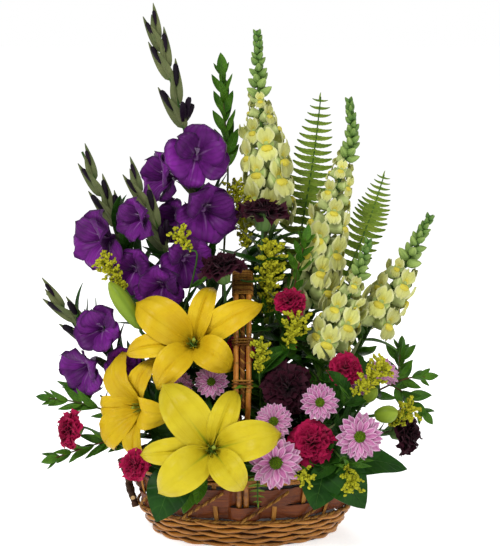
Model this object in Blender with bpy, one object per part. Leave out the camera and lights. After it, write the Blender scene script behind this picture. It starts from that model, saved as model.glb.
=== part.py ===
"""Flower basket arrangement: an oval woven basket with its handle, liner and foam, and every stem in it.

Metres, +Z up. The origin is the centre of the base's underside, +X is the right end of the basket as it
is seen from the front, and +Y points to the back. Flowers and leaves are simple closed solids of the
right size and place; each is one object together with its own stem, which stands in a hole in the foam.
"""

import math
import random
from dataclasses import dataclass

import bmesh
import bpy
from mathutils import Matrix, Vector

# --- Driving dimensions ------------------------------------------------------------------------------

GAP = 0.0003  # air left between pieces that touch
FLAT = math.radians(0.5)  # faces this close to one plane are one face

BASE_HALF_LENGTH = 0.112  # oval of the wall at floor level, along X
BASE_HALF_WIDTH = 0.072  # the same, along Y
WALL_TOP = 0.104
WALL_FLARE = 0.034  # how much further out the wall stands at WALL_TOP
FLARE_CURVE = 2.2

BASE_THICK = 0.006
HOOP_RADIUS = 0.002
WEAVE_SEGMENTS = 30  # corners of the foot's rings round the oval
POSTS = 20  # places round the wall where the splints cross something upright
STAKE_DEPTH = 0.0011  # half of a stake, through the wall
STAKE_WIDTH = 0.0028  # half of a stake, along the wall
STAKE_HEIGHTS = (0.0015, 0.020, 0.0425, 0.0610, 0.0885)  # a corner at each edge that a splint bears on
FOOT_TOP = 0.038
FOOT_ROWS = 5
FOOT_INNER, FOOT_OUTER, FOOT_ROW_BULGE = 0.0028, 0.0056, 0.0014
SPLINT_THICK = 0.0012
SPLINT_WAVE = 0.0026
SPLINT_WAVE_AT_HANDLE = 0.0058
HANDLE_CREST = 0.35  # below 1 the splints' crest at the handle is broad enough for both canes
LOWER_SPLINT = (0.0425, 0.0610)
UPPER_SPLINT = (0.0625, 0.0845)
BRAID_RADIUS = 0.0021
BRAID_HOOP_Z = 0.0402
ROPE_START, ROPE_STOP = -0.15, 1.35  # each rope's ends along the wall, in places between uprights
RIM_Z, RIM_RADIUS = 0.0960, 0.0070

LINER_OFFSET, LINER_THICK, LINER_TOP = -0.0070, 0.0010, 0.086
FOAM_HALF_LENGTH, FOAM_HALF_WIDTH, FOAM_TOP = 0.108, 0.066, 0.128

HANDLE_X = -0.003
HANDLE_TOP = 0.342
HANDLE_FOOT = 0.040
HANDLE_SHOULDER, HANDLE_CROWN = 0.70, 0.92  # powers that shape the arch: lower is squarer
CANE_RADIUS = 0.0036
CANE_SPREAD = 0.0080  # from the handle's middle to each cane's axis, above the flowers
CANE_SPREAD_AT_FOOT = 0.0044
RIM_HOLE_RADIUS = CANE_RADIUS + 1.3 * GAP
BINDING_CORD, BINDING_RING = 0.0030, 0.0015
BINDING_LOW = 0.190  # the canes lie too close together below this for the cord between them
BINDING_RINGS = 9
RING_SLACK = 1.16  # an eight-cornered ring has to stand this much further out

STEM_SIDES = 4
SMALL_LEAF_THICK = 0.0014
HOLE_SLACK = 1.5 * GAP  # a stem's hole in the foam is this much wider at its corners


# --- Mesh tools --------------------------------------------------------------------------------------


def clear_scene():
    """Remove everything the file starts with."""
    for thing in list(bpy.data.objects):
        bpy.data.objects.remove(thing, do_unlink=True)


def paint(name, colour, roughness, metallic=0.0):
    """A Principled material in one colour."""
    material = bpy.data.materials.new(name)
    material.use_nodes = True
    shader = material.node_tree.nodes["Principled BSDF"]
    shader.inputs["Base Color"].default_value = (*colour, 1.0)
    shader.inputs["Roughness"].default_value = roughness
    shader.inputs["Metallic"].default_value = metallic
    material.diffuse_color = (*colour, 1.0)
    return material


def loft(rings, closed=False):
    """A closed mesh through rings of points; the ends are capped unless the last ring meets the first."""
    mesh = bmesh.new()
    rows = [[mesh.verts.new(point) for point in ring] for ring in rings]
    count = len(rows[0])
    pairs = list(zip(rows, rows[1:] + rows[:1])) if closed else list(zip(rows, rows[1:]))
    for low, high in pairs:
        for i in range(count):
            j = (i + 1) % count
            mesh.faces.new((low[i], low[j], high[j], high[i]))
    if not closed:
        mesh.faces.new(list(reversed(rows[0])))
        mesh.faces.new(rows[-1])
    return tidy(mesh)


def tidy(mesh):
    """Merge doubled points, drop slivers and turn every face outward."""
    bmesh.ops.remove_doubles(mesh, verts=mesh.verts, dist=1e-6)
    bmesh.ops.recalc_face_normals(mesh, faces=mesh.faces)
    if mesh.calc_volume(signed=True) < 0:
        bmesh.ops.reverse_faces(mesh, faces=mesh.faces)
    return mesh


def smooth_path(points, steps):
    """Points of a Catmull-Rom curve through the given ones, with a number of steps on each stretch."""
    points = [Vector(point) for point in points]
    ends = [2 * points[0] - points[1], *points, 2 * points[-1] - points[-2]]
    path = []
    for a, b, c, d in zip(ends, ends[1:], ends[2:], ends[3:]):
        for step in range(steps):
            t = step / steps
            bend = 2 * a - 5 * b + 4 * c - d
            swing = 3 * b - a - 3 * c + d
            path.append(b + 0.5 * t * ((c - a) + t * (bend + t * swing)))
    path.append(points[-1])
    return path


def tube(path, radii, sides=STEM_SIDES, closed=False):
    """A round bar along a path. Its rings are carried along without twist; radii is a number or a list."""
    path = [Vector(point) for point in path]
    count = len(path)
    if not isinstance(radii, (list, tuple)):
        radii = [radii] * count
    rings, side = [], None
    for i, point in enumerate(path):
        before = path[i - 1] if i or closed else point
        after = path[(i + 1) % count] if i + 1 < count or closed else point
        along = (after - before).normalized()
        side = side or (Vector((0, 0, 1)) if abs(along.z) < 0.9 else Vector((1, 0, 0)))
        side = (side - along * side.dot(along)).normalized()
        other = along.cross(side)
        turns = [2 * math.pi * k / sides for k in range(sides)]
        rings.append([point + radii[i] * (math.cos(a) * side + math.sin(a) * other) for a in turns])
    return loft(rings, closed)


def facing(place, direction):
    """The matrix that puts a shape's own +Z along a direction, at a place."""
    turn = Vector(direction).to_track_quat("Z", "Y").to_matrix().to_4x4()
    return Matrix.Translation(place) @ turn


def lathe(profile, sides, matrix, lobes=0):
    """A turned solid from (radius, height, ripple) steps; the first and last step lie on the axis."""
    mesh = bmesh.new()
    low = mesh.verts.new((0, 0, profile[0][1]))
    high = mesh.verts.new((0, 0, profile[-1][1]))
    rows = []
    for radius, height, ripple in profile[1:-1]:
        angles = [2 * math.pi * k / sides for k in range(sides)]
        swell = [radius * (1 + ripple * math.cos(lobes * a)) for a in angles]
        around = zip(swell, angles)
        rows.append([mesh.verts.new((r * math.cos(a), r * math.sin(a), height)) for r, a in around])
    for k in range(sides):
        j = (k + 1) % sides
        mesh.faces.new((low, rows[0][j], rows[0][k]))
        mesh.faces.new((high, rows[-1][k], rows[-1][j]))
        for below, above in zip(rows, rows[1:]):
            mesh.faces.new((below[k], below[j], above[j], above[k]))
    mesh.transform(matrix)
    return tidy(mesh)


def trumpet(profile, widths, thick, matrix, phase=0.0):
    """An open flower of six petals: a thin closed shell whose rim is cut into lobes.

    The profile is (radius, height) from the throat to the petals' tips. widths says how far the shell
    reaches at even steps of angle from the middle of one petal to the middle of the next.
    """
    count = 6 * len(widths)
    throat = profile[0][0]
    mesh = bmesh.new()
    centre_top = mesh.verts.new((0, 0, profile[0][1]))
    centre_low = mesh.verts.new((0, 0, profile[0][1] - thick))
    rows = []
    for i, (radius, height) in enumerate(profile):
        row_top, row_low = [], []
        for k in range(count):
            angle = phase + 2 * math.pi * k / count
            share = 1 if i == 0 else widths[k % len(widths)]
            reach = throat + (radius - throat) * share
            rise = profile[0][1] + (height - profile[0][1]) * share
            flat = Vector((reach * math.cos(angle), reach * math.sin(angle), rise))
            row_top.append(mesh.verts.new(flat))
            row_low.append(mesh.verts.new(flat - Vector((0, 0, thick))))
        rows.append((row_top, row_low))
    for k in range(count):
        j = (k + 1) % count
        mesh.faces.new((centre_top, rows[0][0][k], rows[0][0][j]))
        mesh.faces.new((centre_low, rows[0][1][j], rows[0][1][k]))
        for inner, outer in zip(rows, rows[1:]):
            for low, high, turn in ((inner[0], outer[0], 1), (inner[1], outer[1], -1)):
                mesh.faces.new((low[k], high[k], high[j])[::turn])
                mesh.faces.new((low[k], high[j], low[j])[::turn])
        mesh.faces.new((rows[-1][0][k], rows[-1][1][k], rows[-1][1][j], rows[-1][0][j]))
    mesh.transform(matrix)
    return tidy(mesh)


def blade(root, tip, half_width, thick, face, curl=0.0):
    """A leaf: a flat pointed solid from its root to its tip. face is the way its upper side looks."""
    root, tip = Vector(root), Vector(tip)
    along = tip - root
    across = along.cross(Vector(face)).normalized()
    up = across.cross(along).normalized()
    mesh = bmesh.new()
    rows = []
    for share, width in ((0.0, 0.12), (0.22, 0.78), (0.50, 1.0), (0.78, 0.60), (1.0, 0.06)):
        middle = root + share * along + curl * (share * share - share) * up
        half = width * half_width
        corners = (-half * across, 0.5 * thick * up, half * across, -0.5 * thick * up)
        rows.append([mesh.verts.new(middle + corner) for corner in corners])
    for low, high in zip(rows, rows[1:]):
        for i in range(4):
            j = (i + 1) % 4
            mesh.faces.new((low[i], low[j], high[j], high[i]))
    mesh.faces.new(list(reversed(rows[0])))
    mesh.faces.new(rows[-1])
    return tidy(mesh)


def leaflet(root, tip, half_width, thick, face):
    """The simplest small leaf: a flat diamond that comes to a point at its root and its tip."""
    root, tip = Vector(root), Vector(tip)
    along = tip - root
    across = along.cross(Vector(face)).normalized()
    up = across.cross(along).normalized()
    middle = root + 0.45 * along
    mesh = bmesh.new()
    ends = [mesh.verts.new(root), mesh.verts.new(tip)]
    corners = (-half_width * across, 0.5 * thick * up, half_width * across, -0.5 * thick * up)
    belt = [mesh.verts.new(middle + corner) for corner in corners]
    for i in range(4):
        for end in ends:
            mesh.faces.new((end, belt[i], belt[(i + 1) % 4]))
    return tidy(mesh)


def add_object(name, mesh, material=None):
    """Put a bmesh into the scene as a named object, and free it."""
    data = bpy.data.meshes.new(name)
    mesh.to_mesh(data)
    mesh.free()
    if material is not None:
        data.materials.append(material)
    thing = bpy.data.objects.new(name, data)
    bpy.context.collection.objects.link(thing)
    return thing


def joined(meshes):
    """One bmesh that holds all the given ones."""
    whole = bmesh.new()
    for mesh in meshes:
        part = bpy.data.meshes.new("part")
        mesh.to_mesh(part)
        mesh.free()
        whole.from_mesh(part)
        bpy.data.meshes.remove(part)
    return whole


def combine(thing, meshes, operation):
    """Apply one exact Boolean between an object and a group of closed meshes.

    The cut leaves needless edges on flat faces. They are dissolved where the mesh stays closed.
    """
    tool = add_object("tool", joined(meshes))
    change = thing.modifiers.new(operation, "BOOLEAN")
    change.solver = "EXACT"
    change.operation = operation
    change.use_self = True
    change.object = tool
    graph = bpy.context.evaluated_depsgraph_get()
    result = bpy.data.meshes.new_from_object(thing.evaluated_get(graph))
    thing.modifiers.clear()
    thing.data = result
    bpy.data.objects.remove(tool, do_unlink=True)
    for merge, flat in ((2e-6, FLAT), (2e-6, 0.0), (0.0, FLAT)):
        clean = bmesh.new()
        clean.from_mesh(result)
        bmesh.ops.remove_doubles(clean, verts=clean.verts, dist=merge)
        bmesh.ops.dissolve_limit(clean, angle_limit=flat, verts=clean.verts, edges=clean.edges)
        closed = all(edge.is_manifold for edge in clean.edges)
        if closed:
            clean.to_mesh(result)
        clean.free()
        if closed:
            break
    return thing


def fused(name, meshes, material):
    """One closed body from meshes that run into each other."""
    thing = add_object(name, meshes[0], material)
    if len(meshes) > 1:
        combine(thing, meshes[1:], "UNION")
    return thing


# --- Basket ------------------------------------------------------------------------------------------


def flare(height):
    """How far the wall leans out at a height, against its line on the floor."""
    return WALL_FLARE * (1 - max(0.0, 1 - height / WALL_TOP) ** FLARE_CURVE)


def wall_point(angle, offset, height):
    """A point on the wall's middle surface, moved outward by an offset."""
    reach = flare(height) + offset
    across = (BASE_HALF_LENGTH + reach) * math.cos(angle)
    return Vector((across, (BASE_HALF_WIDTH + reach) * math.sin(angle), height))


def wall_angles(count, shift=0.0):
    """Angles of places evenly spaced round the wall, the first at the middle of the front."""
    fine = 720
    turns = [-math.pi / 2 + 2 * math.pi * i / fine for i in range(fine + 1)]
    points = [wall_point(turn, 0, 0.06) for turn in turns]
    runs = [0.0]
    for before, after in zip(points, points[1:]):
        runs.append(runs[-1] + (after - before).length)
    angles = []
    for i in range(count):
        goal = runs[-1] * ((i + shift) % count) / count
        angles.append(turns[min(range(fine + 1), key=lambda k: abs(runs[k] - goal))])
    return angles


def wall_ring(section, segments):
    """A closed oval ring from a section: a function of the segment's number that gives its points."""
    angles = wall_angles(segments)
    return loft([[wall_point(angle, *point) for point in section(i)] for i, angle in enumerate(angles)], True)


def oval_block(half_length, half_width, levels, segments=36):
    """A solid oval from (height, shrink) levels."""
    rings = []
    for height, shrink in levels:
        turns = [2 * math.pi * k / segments for k in range(segments)]
        a, b = half_length - shrink, half_width - shrink
        rings.append([Vector((a * math.cos(t), b * math.sin(t), height)) for t in turns])
    return loft(rings)


def make_base(material):
    """The oval board that stands on the floor."""
    reach = -(HOOP_RADIUS + GAP)
    levels = [(0.0, -reach), (BASE_THICK, -reach)]
    return fused("basket_base", [oval_block(BASE_HALF_LENGTH, BASE_HALF_WIDTH, levels)], material)


def make_foot_weave(material):
    """The rows of fine willow at the foot, in one ring with a ribbed outer side."""
    step = FOOT_TOP / FOOT_ROWS

    def section(_):
        inner = [(FOOT_INNER, FOOT_TOP), (FOOT_INNER, 0.5 * FOOT_TOP), (FOOT_INNER, 0.0)]
        outer = []
        for row in range(FOOT_ROWS):
            outer.append((FOOT_OUTER, row * step))
            outer.append((FOOT_OUTER + FOOT_ROW_BULGE, (row + 0.5) * step))
        return inner + outer + [(FOOT_OUTER, FOOT_TOP)]

    return fused("foot_weave", [wall_ring(section, WEAVE_SEGMENTS)], material)


def make_stakes(material):
    """Upright stakes that stand on a hoop. The places at front and back are the handle's."""
    hoop = tube([wall_point(a, 0.0, HOOP_RADIUS) for a in wall_angles(WEAVE_SEGMENTS)], HOOP_RADIUS, 4, True)
    stakes = []
    for number, angle in enumerate(wall_angles(POSTS)):
        if number % (POSTS // 2) == 0:
            continue
        rings = []
        for height in STAKE_HEIGHTS:
            middle = wall_point(angle, 0.0, height)
            out = (wall_point(angle, 0.001, height) - middle).normalized()
            along = out.cross(Vector((0, 0, 1)))
            corners = ((1, 0), (0, 1), (-1, 0), (0, -1))
            rings.append([middle + a * STAKE_WIDTH * along + b * STAKE_DEPTH * out for a, b in corners])
        stakes.append(loft(rings))
    return fused("stake_frame", [hoop, *stakes], material)


def splint_offset(segment, segments, side):
    """How far a splint stands out of the wall's middle: it passes each upright on the other side."""
    place = POSTS * segment / segments
    near_handle = min(place % (POSTS // 2), (POSTS // 2) - place % (POSTS // 2))
    crest = math.cos(math.pi * place)
    if near_handle >= 1:
        return side * SPLINT_WAVE * crest
    height = SPLINT_WAVE + (SPLINT_WAVE_AT_HANDLE - SPLINT_WAVE) * (1 - near_handle)
    return side * height * math.copysign(abs(crest) ** HANDLE_CREST, crest)


def make_splint(name, span, side, material):
    """A broad chip-wood band, woven in and out of the uprights."""
    segments = 4 * POSTS

    def section(i):
        offset = splint_offset(i, segments, side)
        inner, outer = offset - SPLINT_THICK / 2, offset + SPLINT_THICK / 2
        return [(inner, span[1]), (inner, span[0]), (outer, span[0]), (outer, span[1])]

    return fused(name, [wall_ring(section, segments)], material)


def make_braid(material):
    """Straw ropes that climb over the splints to the right, all from one rope laid round the foot."""
    offset = FOOT_OUTER + BRAID_RADIUS
    hoop = tube([wall_point(a, offset, BRAID_HOOP_Z + GAP) for a in wall_angles(32)], BRAID_RADIUS, 4, True)
    ropes = []
    clear = SPLINT_WAVE_AT_HANDLE + SPLINT_THICK / 2 + BRAID_RADIUS + GAP
    start, stop = wall_angles(POSTS, ROPE_START), wall_angles(POSTS, ROPE_STOP)
    for first, last in list(zip(start, stop))[::2]:
        turn = (last - first) % (2 * math.pi)
        rise = UPPER_SPLINT[1] - 0.002 - BRAID_HOOP_Z
        steps = [k / 4 for k in range(5)]
        rope = [wall_point(first + t * turn, clear, BRAID_HOOP_Z + t * rise) for t in steps]
        ropes.append(tube(rope, BRAID_RADIUS, 4))
    return fused("straw_braid", [hoop, *ropes], material)


def arch(side, steps=20):
    """One line of the handle, from front to back: side is -1 or 1 for a cane and 0 for the middle."""
    half = BASE_HALF_WIDTH + flare(WALL_TOP)
    foot = [HANDLE_FOOT + (WALL_TOP - HANDLE_FOOT) * k / 4 for k in range(4)]
    front = [Vector((0, -BASE_HALF_WIDTH - flare(rise), rise)) for rise in foot]
    path = list(front)
    for k in range(steps + 1):
        angle = math.pi * k / steps
        reach = -half * math.copysign(abs(math.cos(angle)) ** HANDLE_SHOULDER, math.cos(angle))
        rise = (HANDLE_TOP - WALL_TOP) * abs(math.sin(angle)) ** HANDLE_CROWN
        path.append(Vector((0, reach, WALL_TOP + rise)))
    path += [Vector((0, -point.y, point.z)) for point in reversed(front)]
    for point in path:
        share = min(1.0, max(0.0, (point.z - WALL_TOP) / (0.5 * (HANDLE_TOP - WALL_TOP))))
        point.x = HANDLE_X + side * (CANE_SPREAD_AT_FOOT + share * (CANE_SPREAD - CANE_SPREAD_AT_FOOT))
    return path


def make_handle(cane, cord):
    """Two canes side by side, with a cord between them and rings that bind all three."""
    for name, side in (("handle_cane_left", -1), ("handle_cane_right", 1)):
        fused(name, [tube(arch(side), CANE_RADIUS, 6)], cane)
    line = arch(0, 40)
    middle = [point for point in line if point.z > BINDING_LOW]
    outer = [point for point in arch(1, 40) if point.z > BINDING_LOW]
    pieces = [tube(middle[::2], BINDING_CORD, 4)]
    for ring in range(BINDING_RINGS):
        i = round((ring + 0.5) * (len(middle) - 1) / BINDING_RINGS)
        along = (middle[min(i + 1, len(middle) - 1)] - middle[i - 1]).normalized()
        out = Vector((1, 0, 0)).cross(along)
        reach = CANE_RADIUS + BINDING_RING + 1.2 * GAP
        spread = (outer[i] - middle[i]).x
        loop = []
        for k in range(8):
            turn = 2 * math.pi * (k + 0.5) / 8
            side = math.copysign(spread, math.cos(turn)) + reach * RING_SLACK * math.cos(turn)
            loop.append(middle[i] + Vector((side, 0, 0)) + out * reach * RING_SLACK * math.sin(turn))
        pieces.append(tube(loop, BINDING_RING, 4, True))
        bridge = [middle[i] - out * reach, middle[i] + out * reach]
        pieces.append(tube(bridge, BINDING_RING, 4))
    fused("handle_binding", pieces, cord)


def make_rim(material):
    """The roll of willow strands round the top, with two holes for the handle's canes at each side."""
    ring = tube([wall_point(a, 0.0, RIM_Z) for a in wall_angles(36)], RIM_RADIUS, 6, True)
    rim = fused("rim_bundle", [ring], material)
    holes = [tube(arch(side), RIM_HOLE_RADIUS, 6) for side in (-1, 1)]
    return combine(rim, holes, "DIFFERENCE")


def make_end_ties(material):
    """Bark rods tied across each short end of the wall."""
    for name, side, seat in (("end_tie_left", -1, 0.0134), ("end_tie_right", 1, 0.0140)):
        out = BASE_HALF_LENGTH + flare(0.06) + seat
        upright = [(side * (out - 0.006), -0.020, 0.036), (side * (out - 0.001), -0.014, 0.052),
                   (side * (out + 0.005), -0.008, 0.070), (side * (out + 0.017), 0.004, 0.094)]
        across = [(side * (out - 0.008), -0.046, 0.056), (side * (out - 0.001), -0.020, 0.062),
                  (side * (out + 0.001), 0.012, 0.064), (side * (out - 0.004), 0.036, 0.060)]
        rods = [tube(smooth_path(upright, 2), 0.0042, 7), tube(smooth_path(across, 2), 0.0036, 7)]
        fused(name, rods, material)


def make_liner(material):
    """The thin bowl that keeps the water in."""
    angles = wall_angles(28)
    floor = BASE_THICK + GAP
    inset = 0.010
    levels = [(floor, LINER_OFFSET - inset + 0.004), (floor + 0.012, LINER_OFFSET - 0.003),
              (0.05, LINER_OFFSET), (LINER_TOP, LINER_OFFSET)]
    rings = [[wall_point(a, offset, height) for a in angles] for height, offset in levels]
    inner = [[wall_point(a, offset - LINER_THICK, height) for a in angles] for height, offset in levels[1:]]
    inner.insert(0, [wall_point(a, levels[0][1] - LINER_THICK, floor + LINER_THICK) for a in angles])
    return fused("liner_bowl", [loft(rings + inner[::-1])], material)


def make_foam(stems, material):
    """The foam block, drilled for every stem."""
    floor = BASE_THICK + 2 * GAP + LINER_THICK
    levels = [(floor, 0.016), (0.040, 0.002), (0.085, 0.0), (FOAM_TOP - 0.012, 0.003), (FOAM_TOP, 0.020)]
    block = fused("floral_foam", [oval_block(FOAM_HALF_LENGTH, FOAM_HALF_WIDTH, levels, 24)], material)
    return combine(block, stems, "DIFFERENCE")


# --- Stems -------------------------------------------------------------------------------------------


class Stems:
    """Makes the stems and remembers the hole that each one needs in the foam."""

    def __init__(self):
        self.holes = []

    def planted(self, path, radii, sides=STEM_SIDES):
        """A stem along a path whose last point is its cut end, deep in the foam."""
        fine = smooth_path(path, 2)
        if isinstance(radii, tuple):
            first, last = radii
            radii = [first + (last - first) * i / (len(fine) - 1) for i in range(len(fine))]
            wide = [radius + HOLE_SLACK for radius in radii]
        else:
            wide = radii + HOLE_SLACK
        end = fine[-1] + (fine[-1] - fine[-2]).normalized() * GAP
        self.holes.append(tube([*fine[:-1], end], wide, sides))
        return tube(fine, radii, sides)


def route(back, direction, end, bow=0.35):
    """A stem's points: out of the back of a flower, then down to its end in the foam."""
    back, end = Vector(back), Vector(end)
    reach = (back - end).length * bow
    elbow = back - Vector(direction).normalized() * reach
    points = []
    for t in (0.0, 0.3, 0.62, 1.0):
        points.append((1 - t) ** 2 * back + 2 * t * (1 - t) * elbow + t * t * end)
    return points


# --- Gladiolus ---------------------------------------------------------------------------------------


@dataclass(frozen=True)
class Bloom:
    """One open flower: where its middle is, the way it looks, and its radius."""

    place: tuple
    look: tuple
    radius: float


@dataclass(frozen=True)
class Bud:
    """A closed bud, and the share of the stem's length at which its side stem leaves it."""

    tip: tuple
    root: tuple
    radius: float
    fork: float


@dataclass(frozen=True)
class Spike:
    """A gladiolus: its path from tip to foot, the open florets, and how many buds stand above them."""

    path: tuple
    florets: tuple
    buds: int


@dataclass(frozen=True)
class Column:
    """A snapdragon: its path from tip to foot, the height where its florets end, and its widest radius."""

    path: tuple
    low: float
    girth: float


@dataclass(frozen=True)
class Frond:
    """A fern: its path from tip to foot, the leafy share of it, the longest leaflet, and the pairs."""

    path: tuple
    leafy: float
    longest: float
    pairs: int
    face: tuple = (0, -1, 0)


@dataclass(frozen=True)
class Lily:
    """An open lily: how far it is turned about its own axis, its stem's cut end, and any closed buds."""

    bloom: Bloom
    phase: float
    end: tuple
    buds: tuple = ()


@dataclass(frozen=True)
class Cluster:
    """The blooms on one branching stem, and the stem's cut end in the foam."""

    blooms: tuple
    end: tuple


@dataclass(frozen=True)
class Spray:
    """Plumes as (tip, root, radius), and the stem's points from the first plume to its cut end."""

    plumes: tuple
    path: tuple


@dataclass(frozen=True)
class Sprig:
    """A myrtle: path from tip to foot, its leafy share, leaf length, pairs, twigs as (tip, fork, pairs)."""

    path: tuple
    leafy: float
    leaf: float
    pairs: int
    twigs: tuple = ()


@dataclass(frozen=True)
class Bough:
    """Large leaves as (root, tip, half width, face), and the stem's points to its cut end."""

    leaves: tuple
    path: tuple


GLADIOLI = {
    "gladiolus_tall": Spike(
        path=(
            (-0.122, 0.060, 0.664), (-0.106, 0.060, 0.622), (-0.081, 0.055, 0.533),
            (-0.064, 0.050, 0.461), (-0.053, 0.042, 0.382), (-0.044, 0.030, 0.250),
            (-0.036, 0.020, 0.085),
        ),
        florets=(
            Bloom((-0.063, 0.014, 0.499), (0.05, -1, 0.25), 0.036),
            Bloom((-0.108, 0.034, 0.468), (-0.8, -0.6, 0.2), 0.03),
            Bloom((-0.048, 0.004, 0.428), (0.35, -1, 0), 0.034),
            Bloom((-0.090, 0.030, 0.412), (-0.5, -1, -0.1), 0.026),
        ),
        buds=10,
    ),
    "gladiolus_left": Spike(
        path=(
            (-0.212, 0.030, 0.500), (-0.184, 0.026, 0.437), (-0.162, 0.022, 0.392),
            (-0.146, 0.020, 0.345), (-0.112, 0.014, 0.255), (-0.062, 0.018, 0.085),
        ),
        florets=(
            Bloom((-0.189, -0.002, 0.390), (-0.6, -0.8, 0.1), 0.033),
            Bloom((-0.145, -0.012, 0.352), (-0.2, -1, 0.1), 0.026),
        ),
        buds=8,
    ),
    "gladiolus_inner": Spike(
        path=(
            (-0.146, -0.010, 0.470), (-0.126, -0.010, 0.436), (-0.104, -0.010, 0.380),
            (-0.088, -0.008, 0.324), (-0.066, -0.002, 0.240), (-0.036, 0.000, 0.085),
        ),
        florets=(
            Bloom((-0.138, -0.030, 0.422), (-0.6, -0.8, 0.1), 0.025),
            Bloom((-0.074, -0.034, 0.370), (0.35, -1, 0.1), 0.03),
            Bloom((-0.110, -0.040, 0.336), (-0.3, -1, 0), 0.027),
        ),
        buds=5,
    ),
    "gladiolus_low": Spike(
        path=(
            (-0.256, -0.020, 0.322), (-0.220, -0.020, 0.288), (-0.190, -0.016, 0.252),
            (-0.150, -0.012, 0.208), (-0.110, -0.008, 0.160), (-0.066, -0.004, 0.085),
        ),
        florets=(
            Bloom((-0.187, -0.044, 0.282), (-0.3, -1, 0.3), 0.027),
            Bloom((-0.209, -0.028, 0.227), (-0.6, -0.8, -0.1), 0.031),
            Bloom((-0.158, -0.036, 0.236), (0.1, -1, 0.2), 0.022),
        ),
        buds=6,
    ),
}
FLORET_PROFILE = ((0.20, 0.0), (1.0, 0.70))
FLORET_WIDTHS = (1.0, 0.74)
FLORET_THICK = 0.0022
FLORET_DEPTH = 0.55  # how far a floret's throat lies behind its middle, as a share of its radius
TIP_BUD_LENGTH, BUD_GROWTH = 0.026, 0.012  # a spike's buds grow from its tip down to the open florets
TIP_BUD_RADIUS, BUD_SWELL = 0.0044, 0.0034


def make_gladioli(stems, material):
    """Tall spikes: buds in two rows near the tip, open florets lower down."""
    for name, spike in GLADIOLI.items():
        line = smooth_path(spike.path, 6)
        along = (Vector(spike.path[0]) - Vector(spike.path[2])).normalized()
        parts = [stems.planted(spike.path, (0.0016, 0.0044), 5)]
        for number in range(spike.buds):
            share = number / spike.buds
            root = line[round(1 + 11 * share)]
            side = along.cross(Vector((0, 1, 0))) * (1 if number % 2 else -1)
            lean = (along + 0.42 * side - 0.10 * Vector((0, 1, 0))).normalized()
            size = TIP_BUD_LENGTH + BUD_GROWTH * share
            girth = TIP_BUD_RADIUS + BUD_SWELL * share
            profile = ((0, -0.002, 0), (girth, 0.42 * size, 0), (0, size, 0))
            parts.append(lathe(profile, 5, facing(root, lean)))
        for floret in spike.florets:
            look = Vector(floret.look).normalized()
            size = floret.radius
            back = Vector(floret.place) - look * FLORET_DEPTH * size
            profile = [(size * r, size * h) for r, h in FLORET_PROFILE]
            parts.append(trumpet(profile, FLORET_WIDTHS, FLORET_THICK, facing(back, look)))
            root = min(line, key=lambda point: (point - back).length + 2 * max(0.0, point.z - back.z + 0.02))
            neck = [back + look * 0.0008, back - look * 0.3 * size, root]
            parts.append(tube(neck, [0.17 * size, 0.14 * size, 0.002]))
        fused(name, parts, material)


# --- Snapdragon --------------------------------------------------------------------------------------

SNAPDRAGONS = {
    "snapdragon_tall": Column(
        path=(
            (0.016, 0.050, 0.656), (0.018, 0.050, 0.583), (0.022, 0.046, 0.527),
            (0.030, 0.042, 0.440), (0.036, 0.030, 0.300), (0.028, 0.012, 0.085),
        ),
        low=0.425,
        girth=0.026,
    ),
    "snapdragon_mid": Column(
        path=(
            (0.135, 0.028, 0.568), (0.139, 0.028, 0.517), (0.127, 0.026, 0.476),
            (0.112, 0.022, 0.420), (0.096, 0.016, 0.350), (0.076, 0.012, 0.270),
            (0.048, 0.009, 0.085),
        ),
        low=0.32,
        girth=0.026,
    ),
    "snapdragon_right": Column(
        path=(
            (0.240, 0.004, 0.420), (0.214, 0.004, 0.365), (0.196, 0.004, 0.330),
            (0.168, 0.004, 0.280), (0.120, 0.000, 0.190), (0.060, 0.002, 0.085),
        ),
        low=0.285,
        girth=0.024,
    ),
    "snapdragon_short": Column(
        path=(
            (0.158, -0.030, 0.392), (0.146, -0.034, 0.353), (0.130, -0.038, 0.313),
            (0.106, -0.040, 0.250), (0.056, -0.012, 0.085),
        ),
        low=0.256,
        girth=0.022,
    ),
}


SNAPDRAGON_LEAVES_LOW = 0.17  # height of the lowest leaf on a snapdragon's stem


def make_snapdragons(stems, material):
    """Spikes with a knobbly column of florets that narrows to green buds at the tip."""
    for name, column in SNAPDRAGONS.items():
        stem = stems.planted(column.path, (0.0012, 0.0034), 5)
        line = [point for point in smooth_path(column.path, 3) if point.z >= column.low]
        rings = []
        for i, point in enumerate(line):
            share = i / (len(line) - 1)
            swell = column.girth * (0.14 + 0.86 * min(1.0, share * 1.45) ** 1.5)
            if share == 1:
                swell *= 0.55
            along = (line[min(i + 1, len(line) - 1)] - line[max(i - 1, 0)]).normalized()
            side = along.cross(Vector((0, 1, 0))).normalized()
            other = along.cross(side)
            ring = []
            for k in range(6):
                turn = math.pi * k / 3
                bump = swell * (0.90 + 0.10 * math.cos(3 * turn + math.pi * i))
                ring.append(point + bump * (math.cos(turn) * side + math.sin(turn) * other))
            rings.append(ring)
        parts = [stem, loft(rings)]
        parts += stem_leaves(column.path, column.low - 0.012, SNAPDRAGON_LEAVES_LOW, 0.036, 0.0038, 4)
        fused(name, parts, material)


def stem_leaves(path, high, low, length, half_width, count, turn=2.2):
    """Narrow leaves that stand close along a stem, between two heights."""
    line = [point for point in smooth_path(path, 8) if low <= point.z <= high]
    leaves = []
    for number in range(count):
        spot = (number + 0.5) / count * (len(line) - 1)
        i = min(int(spot), len(line) - 2)
        root = line[i].lerp(line[i + 1], spot - i)
        along = (line[i] - line[i + 1]).normalized()
        side = Matrix.Rotation(turn * number, 3, along) @ along.orthogonal().normalized()
        tip = root + (0.90 * along + 0.44 * side) * length
        leaves.append(leaflet(root - side * 0.0010, tip, half_width, 0.0016, side))
    return leaves


# --- Ferns -------------------------------------------------------------------------------------------

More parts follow.
